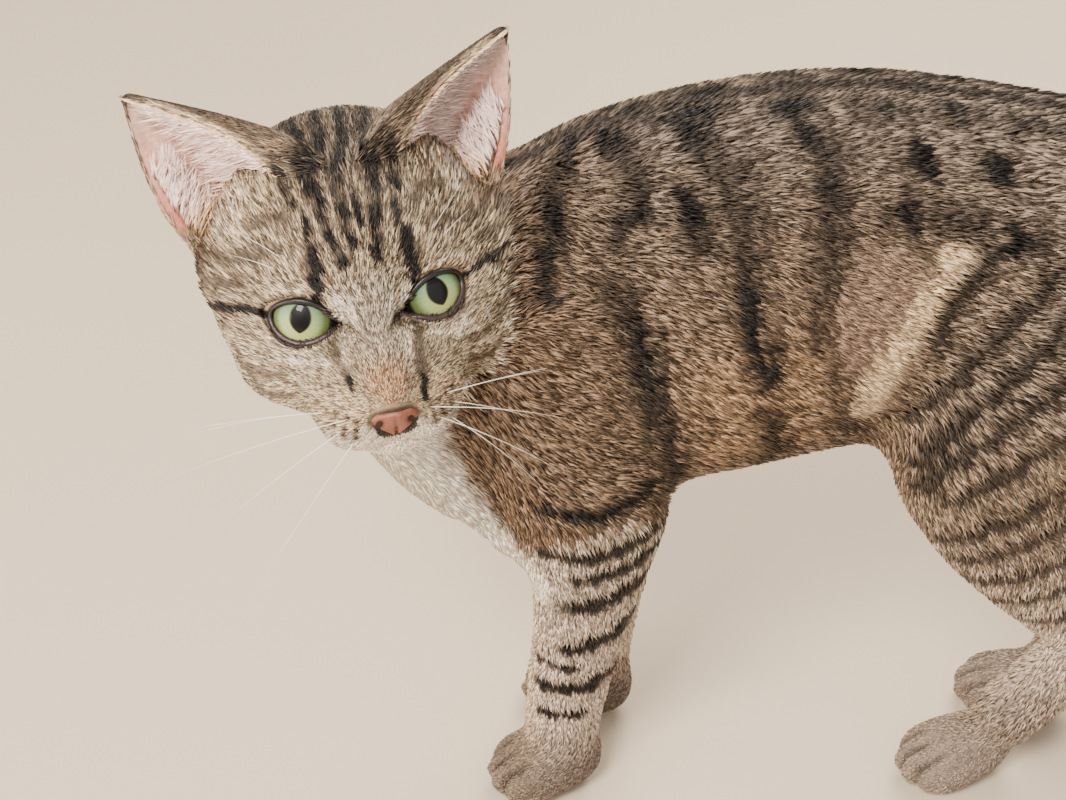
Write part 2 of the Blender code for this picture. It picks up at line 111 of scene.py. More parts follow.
bpy.ops.mesh.primitive_plane_add(size=FLOOR_WIDTH)
floor = bpy.context.active_object
floor.name = "floor"
floor.data.materials.append(floor_finish())

camera = placed("camera", bpy.data.cameras.new("camera"))
camera.data.lens = LENS
camera.data.clip_start = 0.01
camera.location = CAMERA_PLACE
camera.rotation_euler = (math.radians(90 - CAMERA_PITCH), 0, math.radians(90))
bpy.context.scene.camera = camera

for lamp_name, (place, size, power, tint) in LAMPS.items():
    light = bpy.data.lights.new(lamp_name, "AREA")
    light.size = size
    light.energy = power
    light.color = tint
    lamp = placed(lamp_name, light)
    lamp.location = place
    lamp.rotation_euler = (LAMP_TARGET - Vector(place)).to_track_quat("-Z", "Y").to_euler()

room = bpy.data.worlds.new("room")
room.use_nodes = True
room.node_tree.nodes["Background"].inputs["Color"].default_value = ROOM_TINT
room.node_tree.nodes["Background"].inputs["Strength"].default_value = ROOM_STRENGTH
bpy.context.scene.world = room

# ---------------------------------------------------------------- Hide
# The cat's hide in one piece from nose to tail, without its hair. It is the fused form of all the
# flesh, sunk under the coat by the hair's depth, with lids round the eyes, a mouth and toes.
FORELEGS = ["foreleg_left", "foreleg_right"]
HINDLEGS = ["hindleg_left", "hindleg_right"]
FLESH = ["head", "neck", "trunk", "tail"] + FORELEGS + HINDLEGS
EARS = ["ear_left", "ear_right"]
EYES = ["eye_left", "eye_right"]
EAR_SKIN = ["ear_back", "ear_inside"]
PARTS = FLESH + EAR_SKIN
SIDES = ((1, "left"), (-1, "right"))
PART = {name: number for number, name in enumerate(PARTS)}
STANCE = Vector((-0.0131, -0.1468, 0))
HEAD = (
    Matrix.Translation(STANCE + Vector((0.0508, -0.0418, 0.2137)))
    @ Matrix.Rotation(math.radians(103.4), 4, "Z")
    @ Matrix.Rotation(math.radians(-4.7), 4, "Y")
    @ Matrix.Rotation(math.radians(-8.3), 4, "X")
)
head_inverse = HEAD.inverted()
NOSE_TIP = np.array((0, -0.0245, -0.0175))
LIP_PAD = np.array((0.016, -0.011, -0.023))
LIP_RADIUS = 0.0075
LIP_SWELL = 0.0022
MOUTH_DEPTH = 0.0011
HIDE_GRAIN = 0.0023
BRIDGING = 0.0005
COAT_DEPTH = {
    "head": 0.0018, "neck": 0.0034, "trunk": 0.0032, "tail": 0.0034,
    **dict.fromkeys(FORELEGS, 0.0018), **dict.fromkeys(HINDLEGS, 0.0024),
}
PAW_HEIGHT = 0.022
PAW_COAT_DEPTH = 0.0008
FLOOR_GAP = 0.0002
EYE_SPACING = 0.036
EYE_RADIUS = 0.0098
EYE_SUNK = 0.88
EYE_TURN, EYE_TILT, EYE_ROLL = 17, -14, -10
EYE_HALF_WIDTH = 0.0081
EYE_HALF_HEIGHT = 0.0059
UPPER_LID_SHARE = 0.86
LID_PROUD = 0.0009
PAWS = {
    "foreleg_left": (0.0142, 0.0062, 14), "foreleg_right": (-0.0214, 0.0175, -10),
    "hindleg_left": (0.0098, 0.1434, 14), "hindleg_right": (-0.0215, 0.1695, -10),
}
TOE_CLEFTS = (-0.0066, 0.0, 0.0066)
CLEFT_WIDTH = 0.0012
CLEFT_DEPTH = 0.0036


def along(values, matrix):
    """Points, N by 3, moved by a matrix."""
    turn = np.array(matrix)
    return values @ turn[:3, :3].T + turn[:3, 3]


def body_places(points):
    """Places in millimetres: across the body, behind the forefeet, and above the floor."""
    return (points - np.array(STANCE)) * 1000


def head_places(points):
    """Places in millimetres in the head's own frame, which starts midway between the eyes."""
    return along(points, head_inverse) * 1000


def on_side(place, side):
    """A place of the left half of the head, put on the side asked for, in the model's frame."""
    return HEAD @ Vector((place.x * side, place.y, place.z))


def folded(places):
    """Places with the right side turned over onto the left."""
    return np.abs(places) * (1, 0, 0) + places * (0, 1, 1)


def among(part, names):
    """Which points belong to one of the named parts."""
    return np.isin(part, [PART[name] for name in names])


def smooth(low, high, value):
    """0 below low, 1 above high, and a soft step between them."""
    share = np.clip((value - low) / (high - low), 0, 1)
    return share * share * (3 - 2 * share)


def fade(low, high, value):
    """1 below low, 0 above high, and a soft step between them."""
    return 1 - smooth(low, high, value)


def points_of(mesh):
    flat = np.empty(len(mesh.vertices) * 3)
    mesh.vertices.foreach_get("co", flat)
    return flat.reshape(-1, 3)


def set_points(mesh, points):
    mesh.vertices.foreach_set("co", points.ravel())
    mesh.update()


def normals_of(mesh):
    flat = np.empty(len(mesh.vertices) * 3)
    mesh.vertex_normals.foreach_get("vector", flat)
    return flat.reshape(-1, 3)


def edges_of(mesh):
    flat = np.empty(len(mesh.edges) * 2, np.int32)
    mesh.edges.foreach_get("vertices", flat)
    return flat.reshape(-1, 2)


def relaxed(values, edges, rounds, share=0.5, weight=1.0):
    """Values of points, N by k, drawn towards their neighbours' mean."""
    ends = np.concatenate([edges, edges[:, ::-1]])
    counts = np.maximum(np.bincount(ends[:, 0], minlength=len(values)), 1)
    for _ in range(rounds):
        means = np.stack(
            [np.bincount(ends[:, 0], column[ends[:, 1]], len(values)) / counts for column in values.T], 1
        )
        values = values + np.reshape(share * weight, (-1, 1)) * (means - values)
    return values


def unit(vectors):
    return vectors / np.maximum(np.linalg.norm(vectors, axis=1, keepdims=True), 1e-9)


def fused_flesh():
    """One closed mesh of all the flesh, a little fattened so that the thin cuts between nodes close."""
    form = bmesh.new()
    for name in FLESH + EYES:
        piece = bmesh.new()
        piece.from_mesh(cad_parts[name].data)
        bmesh.ops.remove_doubles(piece, verts=piece.verts, dist=1e-5)
        piece.normal_update()
        shifts = [vertex.normal * BRIDGING for vertex in piece.verts]
        for vertex, shift in zip(piece.verts, shifts):
            vertex.co += shift
        mesh = bpy.data.meshes.new("piece")
        piece.to_mesh(mesh)
        form.from_mesh(mesh)
        piece.free()
        bpy.data.meshes.remove(mesh)
    mesh = bpy.data.meshes.new("form")
    form.to_mesh(mesh)
    form.free()
    holder = placed("form", mesh)
    remesh = holder.modifiers.new("fuse", "REMESH")
    remesh.mode = "VOXEL"
    remesh.voxel_size = HIDE_GRAIN
    fused = bpy.data.meshes.new_from_object(holder.evaluated_get(bpy.context.evaluated_depsgraph_get()))
    bpy.data.objects.remove(holder)
    return fused


def refined(mesh, chosen):
    """Splits in four each face whose centre chosen(points, N by 3) picks."""
    form = bmesh.new()
    form.from_mesh(mesh)
    centres = np.array([face.calc_center_median() for face in form.faces])
    picked = chosen(centres)
    edges = {edge for face, pick in zip(form.faces, picked) if pick for edge in face.edges}
    bmesh.ops.subdivide_edges(form, edges=list(edges), cuts=1, use_grid_fill=True)
    bmesh.ops.triangulate(form, faces=[face for face in form.faces if len(face.verts) > 4])
    form.to_mesh(mesh)
    form.free()
    return mesh


def part_numbers(points):
    """Which part of the body each point lies nearest."""
    corners, faces, owner = [], [], []
    for name in FLESH:
        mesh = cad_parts[name].data
        start = len(corners)
        corners += [vertex.co for vertex in mesh.vertices]
        faces += [tuple(start + corner for corner in face.vertices) for face in mesh.polygons]
        owner += [PART[name]] * len(mesh.polygons)
    tree = BVHTree.FromPolygons(corners, faces)
    return np.array([owner[tree.find_nearest(point)[2]] for point in points])


def gaze(side):
    """Where an eye looks from: its own frame, with the eyeball behind its middle."""
    return (
        HEAD
        @ Matrix.Translation((side * EYE_SPACING / 2, 0, 0))
        @ Matrix.Rotation(math.radians(side * EYE_TURN), 4, "Z")
        @ Matrix.Rotation(math.radians(EYE_TILT), 4, "X")
        @ Matrix.Rotation(math.radians(side * EYE_ROLL), 4, "Y")
    )


def lid_opening(turns):
    """The lid opening's reach from the gaze in each direction, with its inner corner at half a turn."""
    angle = np.linspace(-math.pi, math.pi, 361)
    rise = np.sin(angle) * (1 - 0.16 * np.cos(angle) ** 2) * EYE_HALF_HEIGHT
    rise = np.where(rise > 0, rise * UPPER_LID_SHARE, rise)
    reach = np.cos(angle) * EYE_HALF_WIDTH
    direction = np.arctan2(rise, reach)
    radius = np.hypot(rise, reach)
    order = np.argsort(direction)
    found = np.interp(turns, direction[order], radius[order])
    past_corner = np.minimum(np.abs(turns + math.pi * 0.97), np.abs(turns - math.pi * 1.03))
    return found + 0.0013 * np.exp(-((past_corner / 0.22) ** 2))


def ball_depth(radius, reach):
    """How far behind the gaze point a ball of that radius lies, at a reach from the gaze line."""
    return EYE_SUNK * EYE_RADIUS - np.sqrt(np.maximum(radius**2 - reach**2, 1e-8))


def with_lids(points, edges):
    """The face's points drawn back behind each eyeball inside the lids, and round it outside them."""
    for side in (-1, 1):
        frame_of_eye = gaze(side)
        local = along(points, frame_of_eye.inverted())
        reach = np.hypot(local[:, 0], local[:, 2])
        turn = np.arctan2(local[:, 2], local[:, 0] * side)
        opening = lid_opening(turn)
        share = reach / opening
        near = (local[:, 1] < EYE_SUNK * EYE_RADIUS + 0.004) & (share < 2.6)
        behind = ball_depth(EYE_RADIUS - 0.0016, reach)
        rim = ball_depth(EYE_RADIUS + LID_PROUD, 1.1 * opening)
        hold = fade(1.12, 2.1, share)
        depth = local[:, 1] * (1 - hold) + (rim + 0.25 * np.maximum(share - 1.1, 0) * opening) * hold
        fold = np.exp(-(((share - 1.5) / 0.13) ** 2)) * smooth(0.1, 0.6, np.sin(turn))
        depth = depth + 0.0005 * fold
        depth = np.where(share < 1.0, behind, depth)
        local[:, 1] = np.where(near, depth, local[:, 1])
        soft = near & (share > 1.2)
        local = np.where(soft[:, None], relaxed(local, edges, 3), local)
        points = along(local, frame_of_eye)
    return points


def nearest_on(line, points):
    """Distance from each point to a broken line, with how far along it the nearest place is, 0 to 1."""
    best = np.full(len(points), 1e9)
    place = np.zeros(len(points))
    line = np.asarray(line, float)
    for number, (start, end) in enumerate(zip(line[:-1], line[1:])):
        run = end - start
        share = np.clip((points - start) @ run / max(run @ run, 1e-12), 0, 1)
        gap = np.linalg.norm(points - start - share[:, None] * run, axis=1)
        closer = gap < best
        best = np.where(closer, gap, best)
        place = np.where(closer, (number + share) / (len(line) - 1), place)
    return best, place


MOUTH = [
    (0, -21.5, -25.0), (0, -19.5, -29.5), (5, -17.5, -31.0),
    (10, -12, -31.0), (15, -4, -30.0), (18, 3, -28.5),
]


def with_mouth(points, normals):
    """A groove below the nose and along the lips on both sides."""
    gap, _ = nearest_on(MOUTH, folded(head_places(points)))
    return points - normals * (MOUTH_DEPTH * np.exp(-((gap / 0.9) ** 2)))[:, None]


def toe_clefts(points, part):
    """How deep each point lies in the three clefts down the front of each paw, between its toes."""
    deep = np.zeros(len(points))
    for name, (x, y, turn) in PAWS.items():
        to_paw = Matrix.Translation(-STANCE - Vector((x, y, 0)))
        local = along(points, Matrix.Rotation(-math.radians(turn), 4, "Z") @ to_paw)
        cleft = sum(np.exp(-(((local[:, 0] - middle) / CLEFT_WIDTH) ** 2)) for middle in TOE_CLEFTS)
        ahead = fade(-0.008, 0.003, local[:, 1])
        low = fade(0.010, 0.019, local[:, 2])
        deep += cleft * ahead * low * smooth(0.0, 0.003, local[:, 2]) * (part == PART[name])
    return deep


def in_head(points):
    near = (np.abs(along(points, head_inverse)) < (0.045, 0.06, 0.048)).all(1)
    return near & (part_numbers(points) == PART["head"])


def in_face(points):
    local = along(points, head_inverse)
    return (local[:, 1] < 0.011) & (np.abs(local[:, 0]) < 0.031) & (np.abs(local[:, 2] + 0.008) < 0.024)


def in_toes(points):
    return points[:, 2] < 0.020


hide = fused_flesh()
coarse = points_of(hide)
set_points(hide, relaxed(coarse, edges_of(hide), 5, weight=0.4 + 0.6 * in_head(coarse)))
hide = refined(hide, in_head)
hide = refined(hide, lambda points: in_face(points) | in_toes(points))
hide_edges = edges_of(hide)
hide_points = relaxed(points_of(hide), hide_edges, 9)
set_points(hide, hide_points)
hide_part = part_numbers(hide_points)
nose_gap = np.linalg.norm(along(hide_points, head_inverse) - NOSE_TIP, axis=1)
depth = np.array([COAT_DEPTH.get(name, 0) for name in PARTS])[hide_part]
depth = np.where(hide_part == PART["head"], 0.0003 + 0.042 * np.minimum(nose_gap, 0.055), depth)
depth = np.where(hide_points[:, 2] < PAW_HEIGHT, PAW_COAT_DEPTH, depth)
depth = relaxed(depth[:, None], hide_edges, 30)
hide_points = hide_points - normals_of(hide) * (depth + BRIDGING)
hide_points[:, 2] = np.maximum(hide_points[:, 2], FLOOR_GAP)
hide_head = along(hide_points, head_inverse)
chin_lift = 0.32 * np.maximum(-0.027 - hide_head[:, 2], 0) * fade(0.0, 0.02, hide_head[:, 1])
hide_head[:, 2] += chin_lift * (hide_part == PART["head"])
hide_points = relaxed(along(hide_head, HEAD), hide_edges, 2)
hide_points = with_lids(hide_points, hide_edges)
set_points(hide, hide_points)
lip_gap = np.linalg.norm(folded(along(hide_points, head_inverse)) - LIP_PAD, axis=1)
hide_points = hide_points + normals_of(hide) * (LIP_SWELL * np.exp(-((lip_gap / LIP_RADIUS) ** 2)))[:, None]
hide_points = with_mouth(hide_points, normals_of(hide))
hide_points = hide_points - normals_of(hide) * (CLEFT_DEPTH * toe_clefts(hide_points, hide_part))[:, None]
set_points(hide, hide_points)

# ---------------------------------------------------------------- Ears
# Thin cupped leaves of hide and gristle, open to the front and side. Each is a shell that grows
# out of the head, bare and pink within. They are joined to the hide, so that no seam shows.
EAR_INNER_FOOT = Vector((0.0160, 0.0160, 0.0305))
EAR_OUTER_FOOT = Vector((0.0415, 0.0330, 0.0120))
EAR_TIP = Vector((0.0505, 0.0365, 0.0545))
EAR_CUP = 0.0155
EAR_INNER_SWELL = 0.0065
EAR_OUTER_SWELL = 0.0038
EAR_WALL = 0.0024
EAR_ROOT = 0.0100
EAR_COLUMNS, EAR_ROWS = 30, 40
EAR_FURRED = 0.15


def ear_place(across, up, behind=0.0):
    """A point of the left ear in the head's frame, from its hollow (behind 0) to its back (behind 1)."""
    base = (EAR_OUTER_FOOT - EAR_INNER_FOOT).normalized()
    backwards = (EAR_TIP - (EAR_INNER_FOOT + EAR_OUTER_FOOT) / 2).cross(base).normalized()
    bulge = math.sin(math.pi * max(up, 0) ** 0.8)
    inner = EAR_INNER_FOOT.lerp(EAR_TIP, up) - base * (EAR_INNER_SWELL * bulge)
    outer = EAR_OUTER_FOOT.lerp(EAR_TIP, up) + base * (EAR_OUTER_SWELL * bulge)
    hollow = EAR_CUP * (1 - up) ** 0.6 * max(4 * across * (1 - across), 0) ** 0.8
    turn = math.radians(65 - 95 * across)
    root = EAR_ROOT * (1 - max(up, 0)) ** 1.6 * (1 - across) ** 1.5
    thick = (EAR_WALL * (1 - 0.5 * up) + root - 0.0007) * behind
    point = inner.lerp(outer, across) + backwards * (hollow + thick * math.cos(turn))
    return point - base * (thick * math.sin(turn)), backwards


def bands(rows, ring):
    """Four-cornered faces that join each ring of points to the next."""
    faces = []
    for row in range(rows):
        for step in range(ring):
            one, two = row * ring + step, row * ring + (step + 1) % ring
            faces.append((one, two, two + ring, one + ring))
    return faces


def ear_shell(side):
    """Points, faces and the parts they belong to of one ear, in the model's frame."""
    section = [(column / (EAR_COLUMNS - 1), 0.12) for column in range(EAR_COLUMNS)] + [(1, 0.6)]
    section += [(1 - column / (EAR_COLUMNS - 1), 1.0) for column in range(EAR_COLUMNS)]
    section += [(0, 0.78), (0, 0.56), (0, 0.34)]
    ring = len(section)
    points, parts = [], []
    for row in range(EAR_ROWS + 1):
        up = -0.10 + 1.085 * row / EAR_ROWS
        for step, (across, behind) in enumerate(section):
            place, _ = ear_place(across, up, behind)
            points.append(on_side(place, side))
            bare = step < EAR_COLUMNS and up > EAR_FURRED - 0.10 * across
            parts.append(PART["ear_inside"] if bare else PART["ear_back"])
    faces = bands(EAR_ROWS, ring) + [tuple(range(EAR_ROWS * ring, EAR_ROWS * ring + ring))]
    faces = [face[::side] for face in faces] + [tuple(range(ring))[::-side]]
    return points, faces, parts


def joined(mesh, shells):
    """The hide with the ear shells added, and the part of each point."""
    form = bmesh.new()
    form.from_mesh(mesh)
    numbers = list(hide_part)
    for points, faces, parts in shells:
        added = [form.verts.new(point) for point in points]
        for face in faces:
            form.faces.new([added[corner] for corner in face])
        numbers += parts
    bmesh.ops.triangulate(form, faces=form.faces)
    form.to_mesh(mesh)
    form.free()
    return np.array(numbers)


hide_part = joined(hide, [ear_shell(1), ear_shell(-1)])
hide.shade_smooth()
hide.update()
hide_points = points_of(hide)
hide_normals = normals_of(hide)
hide_edges = edges_of(hide)

# ---------------------------------------------------------------- Markings
# The tabby pattern of hide and hair, in millimetres. Head lines lie in the head's own frame, flank
# bars at distances behind the forefeet and round from the spine, and leg bars at distances behind
# the forefeet and heights. The lips and the bib are white, and the tail is ringed.
hide_faces = np.array([tuple(face.vertices) for face in hide.polygons])
hide_tree = BVHTree.FromPolygons(hide_points.tolist(), hide_faces.tolist())
FRONT = Vector((0.44, -0.15, 0.48))
LAID_REACH = 0.007
GROUND = tone(142, 117, 93)
SPINE_GROUND = tone(116, 105, 94)
SHOULDER_GROUND = tone(116, 86, 60)
RUMP_GROUND = tone(166, 146, 126)
THIN_GROUND = tone(158, 130, 110)
FOLD_BUFF = tone(244, 212, 170)
LEG_GREY = tone(224, 202, 182)
FOREPAW_GROUND = tone(116, 98, 84)
HINDPAW_GROUND = tone(154, 134, 116)
HEAD_GROUND = tone(172, 148, 120)
CROWN_CAP = tone(84, 70, 58)
BRIDGE_GREY = tone(182, 162, 142)
FACE_PALE = tone(250, 224, 190)
WHISKER_PAD = tone(214, 176, 138)
EAR_BACK = tone(136, 112, 90)
EAR_PINK = tone(224, 170, 152)
EAR_DEEP_PINK = tone(206, 130, 110)
EAR_PALE_PINK = tone(218, 184, 166)
STRIPE = tone(24, 18, 15)
CREAM = tone(238, 206, 168)
WHITE = tone(255, 241, 222)
RUST = tone(190, 134, 98)
TAN = tone(182, 144, 106)
BACK_AT = [-12, 36, 84, 132, 180, 200]
BODY_MIDDLE = [173, 183, 194, 196, 195, 196]
BODY_HALF_HEIGHT = [45, 60, 59, 51, 37, 25]
BODY_HALF_WIDTH = [33, 44, 45, 40, 35, 26]
GIRTH_RADIUS = 52
CROWN_LINES = [
    ([(-11.3, 36, 40), (-9.5, 22, 39), (-8.7, 11, 33.5), (-8.6, 4.4, 29)], 3.6),
    ([(-3.2, 36, 41), (-4, 16, 38), (-8, 10.6, 33), (-7.8, 5.4, 30), (-7.1, 0, 24), (-4.5, -1.6, 13)], 2.6),
    ([(3.2, 36, 41), (1.3, 14, 37), (-2, 9.3, 33), (-2.6, 0.8, 27), (-1.5, -2, 18)], 2.4),
    ([(10.3, 36, 40), (6.5, 14.5, 37), (6.4, 7.3, 32), (5.7, 1.6, 27.5), (4.3, -1.3, 21), (3.6, -1.8, 13)],
     2.8),
    ([(16, 34, 38), (12.5, 17, 36.5), (12, 10, 33), (11.5, 4, 28)], 2.6),
    ([(-18, 34, 38), (-15.5, 17, 36), (-14.5, 10, 32), (-13.5, 5, 27)], 2.4),
    ([(1, 2, 29), (1.2, -1.5, 22)], 1.6), ([(9.6, 0, 26), (9.4, -1, 21)], 1.8),
    ([(-11.5, 1, 26), (-11.5, -0.5, 21)], 1.8),
]
FACE_LINES = [
    ([(11.0, -0.2, 18.5), (11.8, -1.2, 11), (12.4, 0.8, 4.5)], 4.6),
    ([(-11.0, -0.2, 18.0), (-11.7, -1.2, 10.8), (-12.0, 0.8, 4.6)], 4.6),
    ([(26.0, 4.0, 2.2), (34, 9, 2.2), (38, 17, 0.6)], 2.6),
    ([(-25.0, 3.5, 1.6), (-32, 8, 3.0), (-39, 23, -2)], 2.8),
    ([(8.6, -16.6, -14), (8.3, -19.5, -18.5)], 3.0), ([(-8.7, -15.6, -11), (-8.5, -16.8, -13.5)], 2.4),
]
SOFT_LINES = [
    ([(9.8, -7.6, -2.6), (9.0, -12.5, -8.5), (8.6, -16.6, -14)], 3.4),
    ([(-10.8, -6.9, -2.8), (-9.2, -12.5, -6.2), (-8.7, -15.0, -9.5)], 3.8),
    ([(23, -4, -13), (30, 2, -13.5), (36.5, 12, -11), (38, 22, -9)], 2.2),
    ([(-24, -4, -12), (-30, 2, -13), (-36.5, 10, -8)], 2.4),
    ([(22, -6, -17), (28, -1, -18.5), (34, 8, -19)], 2.2),
    ([(-22, -6, -17), (-27, -3, -17), (-34, 5, -15)], 2.2),
    ([(17, 2, 19), (24, 7, 15.5), (31, 13, 13), (36, 24, 12)], 2.6),
    ([(-18, 3, 18), (-25, 8, 15.5), (-31, 14, 13), (-36, 24, 12)], 2.6),
    ([(30, 8, 7.5), (35, 15, 7), (38, 24, 4)], 2.4), ([(-30, 8, 8.5), (-35, 15, 7.5), (-38, 24, 4)], 2.0),
    ([(14, 3, 24), (18, 8, 25), (23, 14, 22)], 2.6), ([(-15, 4, 24), (-19, 9, 24), (-25, 16, 20)], 2.6),
]
PALE_LINES = [
    ([(8.9, -2, 3), (8.0, -7, -0.5), (6.9, -12.7, -4), (6.6, -15, -8)], 3.4),
    ([(-6.9, -2.9, 4.5), (-8.2, -8, -1.0), (-8.6, -14, -8)], 3.4),
    ([(13.5, -10, -6.4), (18, -8, -8.2), (23, -3.5, -8.4)], 3.8),
    ([(-13.5, -11.7, -7.6), (-18, -8.5, -8.4), (-23, -3.5, -8.4)], 3.8),
]
MOUTH_MARK = [(0, -21.5, -25.0), (0, -19.5, -28.3), (5, -17.5, -29.6), (10, -12, -29.8), (15, -4, -29.2)]
EAR_RIM = [tuple(ear_place(0, step / 12)[0] * 1000) for step in range(13)]
BIB_HEIGHTS = [98, 108, 116, 133, 149, 160, 176]
BIB_REACH = [5, 0, -6, -17, -23, -27, -30]
WHISKER_ROWS = [
    (side * across, back, height)
    for side in (-1, 1)
    for across, back, height in (
        (9.2, -21.0, -20.4), (11.4, -19.4, -20.0), (13.6, -17.2, -19.6), (15.6, -14.6, -19.6),
        (9.6, -20.8, -22.8), (12.0, -19.0, -22.6), (14.4, -16.4, -22.4),
        (10.0, -20.0, -25.0), (12.6, -17.6, -25.0),
    )
]
FLANK_BARS = [
    ([(28, 5), (33, 6)], 7), ([(42, 5), (48, 6)], 8), ([(65, 9), (70, 11)], 8), ([(87, 12), (92, 14)], 9),
    ([(108, 12), (115, 14)], 9), ([(124, 13), (129, 14)], 9), ([(138, 14), (143, 15)], 8),
    ([(154, 12), (160, 13)], 8), ([(172, 10), (178, 11)], 7),
    ([(11, 3), (6, 12), (4, 37), (2, 52)], 6), ([(17, 4), (25, 18), (27, 33), (21, 39)], 6),
    ([(39, 33), (43, 47)], 6), ([(38, 8), (44, 18), (50, 31), (54, 43), (55, 54), (57, 69), (62, 85)], 7),
    ([(71, 20), (76, 30), (77, 40), (76, 55), (77, 73), (81, 87)], 7),
    ([(19, 52), (28, 67), (30, 82), (36, 100), (38, 119)], 7),
    ([(95, 46), (100, 46)], 8), ([(108, 47), (114, 48)], 8), ([(125, 51), (130, 52)], 8),
    ([(98, 26), (101, 33)], 6), ([(118, 28), (121, 35)], 6), ([(148, 30), (150, 40)], 6),
    ([(62, 96), (66, 112), (64, 126)], 6), ([(84, 98), (86, 112)], 5),
]
THIGH_BARS = [
    ([(124, 224), (111, 210), (105, 195)], 6), ([(141, 218), (125, 201), (114, 185), (104, 171)], 6),
    ([(142, 204), (127, 187), (113, 168), (106, 155)], 6),
    ([(143, 190), (128, 174), (116, 161), (109, 148)], 5.5),
    ([(146, 173), (128, 157), (115, 144)], 5.5), ([(151, 152), (131, 137), (118, 127)], 5.5),
    ([(157, 136), (140, 128), (124, 118)], 5), ([(160, 120), (146, 113), (128, 107)], 5),
    ([(162, 104), (150, 99), (136, 95)], 4.5), ([(172, 90), (160, 86), (150, 84)], 4),
    ([(160, 232), (158, 215), (160, 196)], 6), ([(176, 222), (176, 205), (172, 186)], 6),
]
FORELEG_BARS = [
    ([(4, 142), (18, 141), (32, 148)], 5), ([(4, 121), (20, 124), (36, 131)], 5.5),
    ([(14, 111), (26, 116), (40, 124)], 5.5), ([(4, 95), (20, 99), (38, 110)], 6.5),
    ([(10, 74), (22, 80), (34, 90)], 6), ([(3, 65), (14, 65)], 3.2), ([(3, 53), (16, 55), (28, 62)], 6),
    ([(3, 41), (16, 42)], 3),
]
FOLD_LINE = [(109, 56), (101, 72), (93, 87), (89, 103)]
TAIL_LINE = [
    (0, 196, 212), (0, 216, 199), (0, 235, 173), (-2, 252, 140), (-6, 272, 109), (-12, 298, 84),
    (-19, 330, 70), (-26, 364, 70), (-32, 392, 84),
]
TAIL_RINGS = 9


def wander(points, scale, seed):
    """A smooth random value of about -1 to 1 at each point, that varies over the scale's length."""
    drawn = np.random.default_rng(seed)
    value = np.zeros(len(points))
    for size in (1.0, 0.53, 0.27):
        for _ in range(3):
            wave = unit(drawn.normal(size=(1, 3)))[0] * 2 * math.pi / (scale * size)
            value += size * np.sin(points @ wave + drawn.uniform(0, 2 * math.pi))
    return value / 3.2


def strokes(points, lines, ragged, soft=0.45):
    """How deeply each point lies in any of some brush strokes, 0 to 1. ragged shifts their edges."""
    mask = np.zeros(len(points))
    for line, width in lines:
        gap, place = nearest_on(line, points)
        half = width / 2 * (0.72 + 0.28 * np.sin(math.pi * np.clip(place, 0.06, 0.94)))
        mask = np.maximum(mask, fade(half * (1 - soft), half * (1 + soft), gap + ragged * width * 0.22))
    return mask


def blot(places, centre, radii, inner, outer, ragged=0.0):
    """1 within an oval patch and 0 beyond it, soft between two shares of its radii."""
    return fade(inner, outer, np.linalg.norm((places - centre) / radii, axis=1) + ragged)


def laid(line):
    """A broken line of the head's places, drawn onto the hide as it lies from in front of the face."""
    places = [HEAD @ (Vector(line[-1]) / 1000)]
    for start, end in zip(line[:-1], line[1:]):
        places[-1:-1] = [HEAD @ (Vector(start).lerp(Vector(end), step / 4) / 1000) for step in range(4)]
    found = []
    for place in places:
        hit = hide_tree.ray_cast(FRONT, (place - FRONT).normalized())[0]
        if hit is None or (hit - place).length > LAID_REACH:
            hit = hide_tree.find_nearest(place)[0]
        found.append(head_inverse @ hit * 1000)
    return np.array(found)


def widened(lines, times):
    return [(line, times * width) for line, width in lines]


def laid_strokes(lines, times):
    return [(laid(line), width) for line, width in widened(lines, times)]


CROWN_STROKES = laid_strokes(CROWN_LINES, 1.5)
FACE_STROKES = laid_strokes(FACE_LINES, 1)
SOFT_STROKES = laid_strokes(SOFT_LINES, 1.3)
PALE_STROKES = laid_strokes(PALE_LINES, 1)
FLANK_STROKES = widened(FLANK_BARS, 1.55)
FORELEG_STROKES = widened(FORELEG_BARS, 1.2)
WHISKER_SPOTS = [laid([spot, spot])[0] for spot in WHISKER_ROWS]


def mixed(base, colour, share):
    return base + (np.asarray(colour) - base) * np.reshape(np.clip(share, 0, 1), (-1, 1))


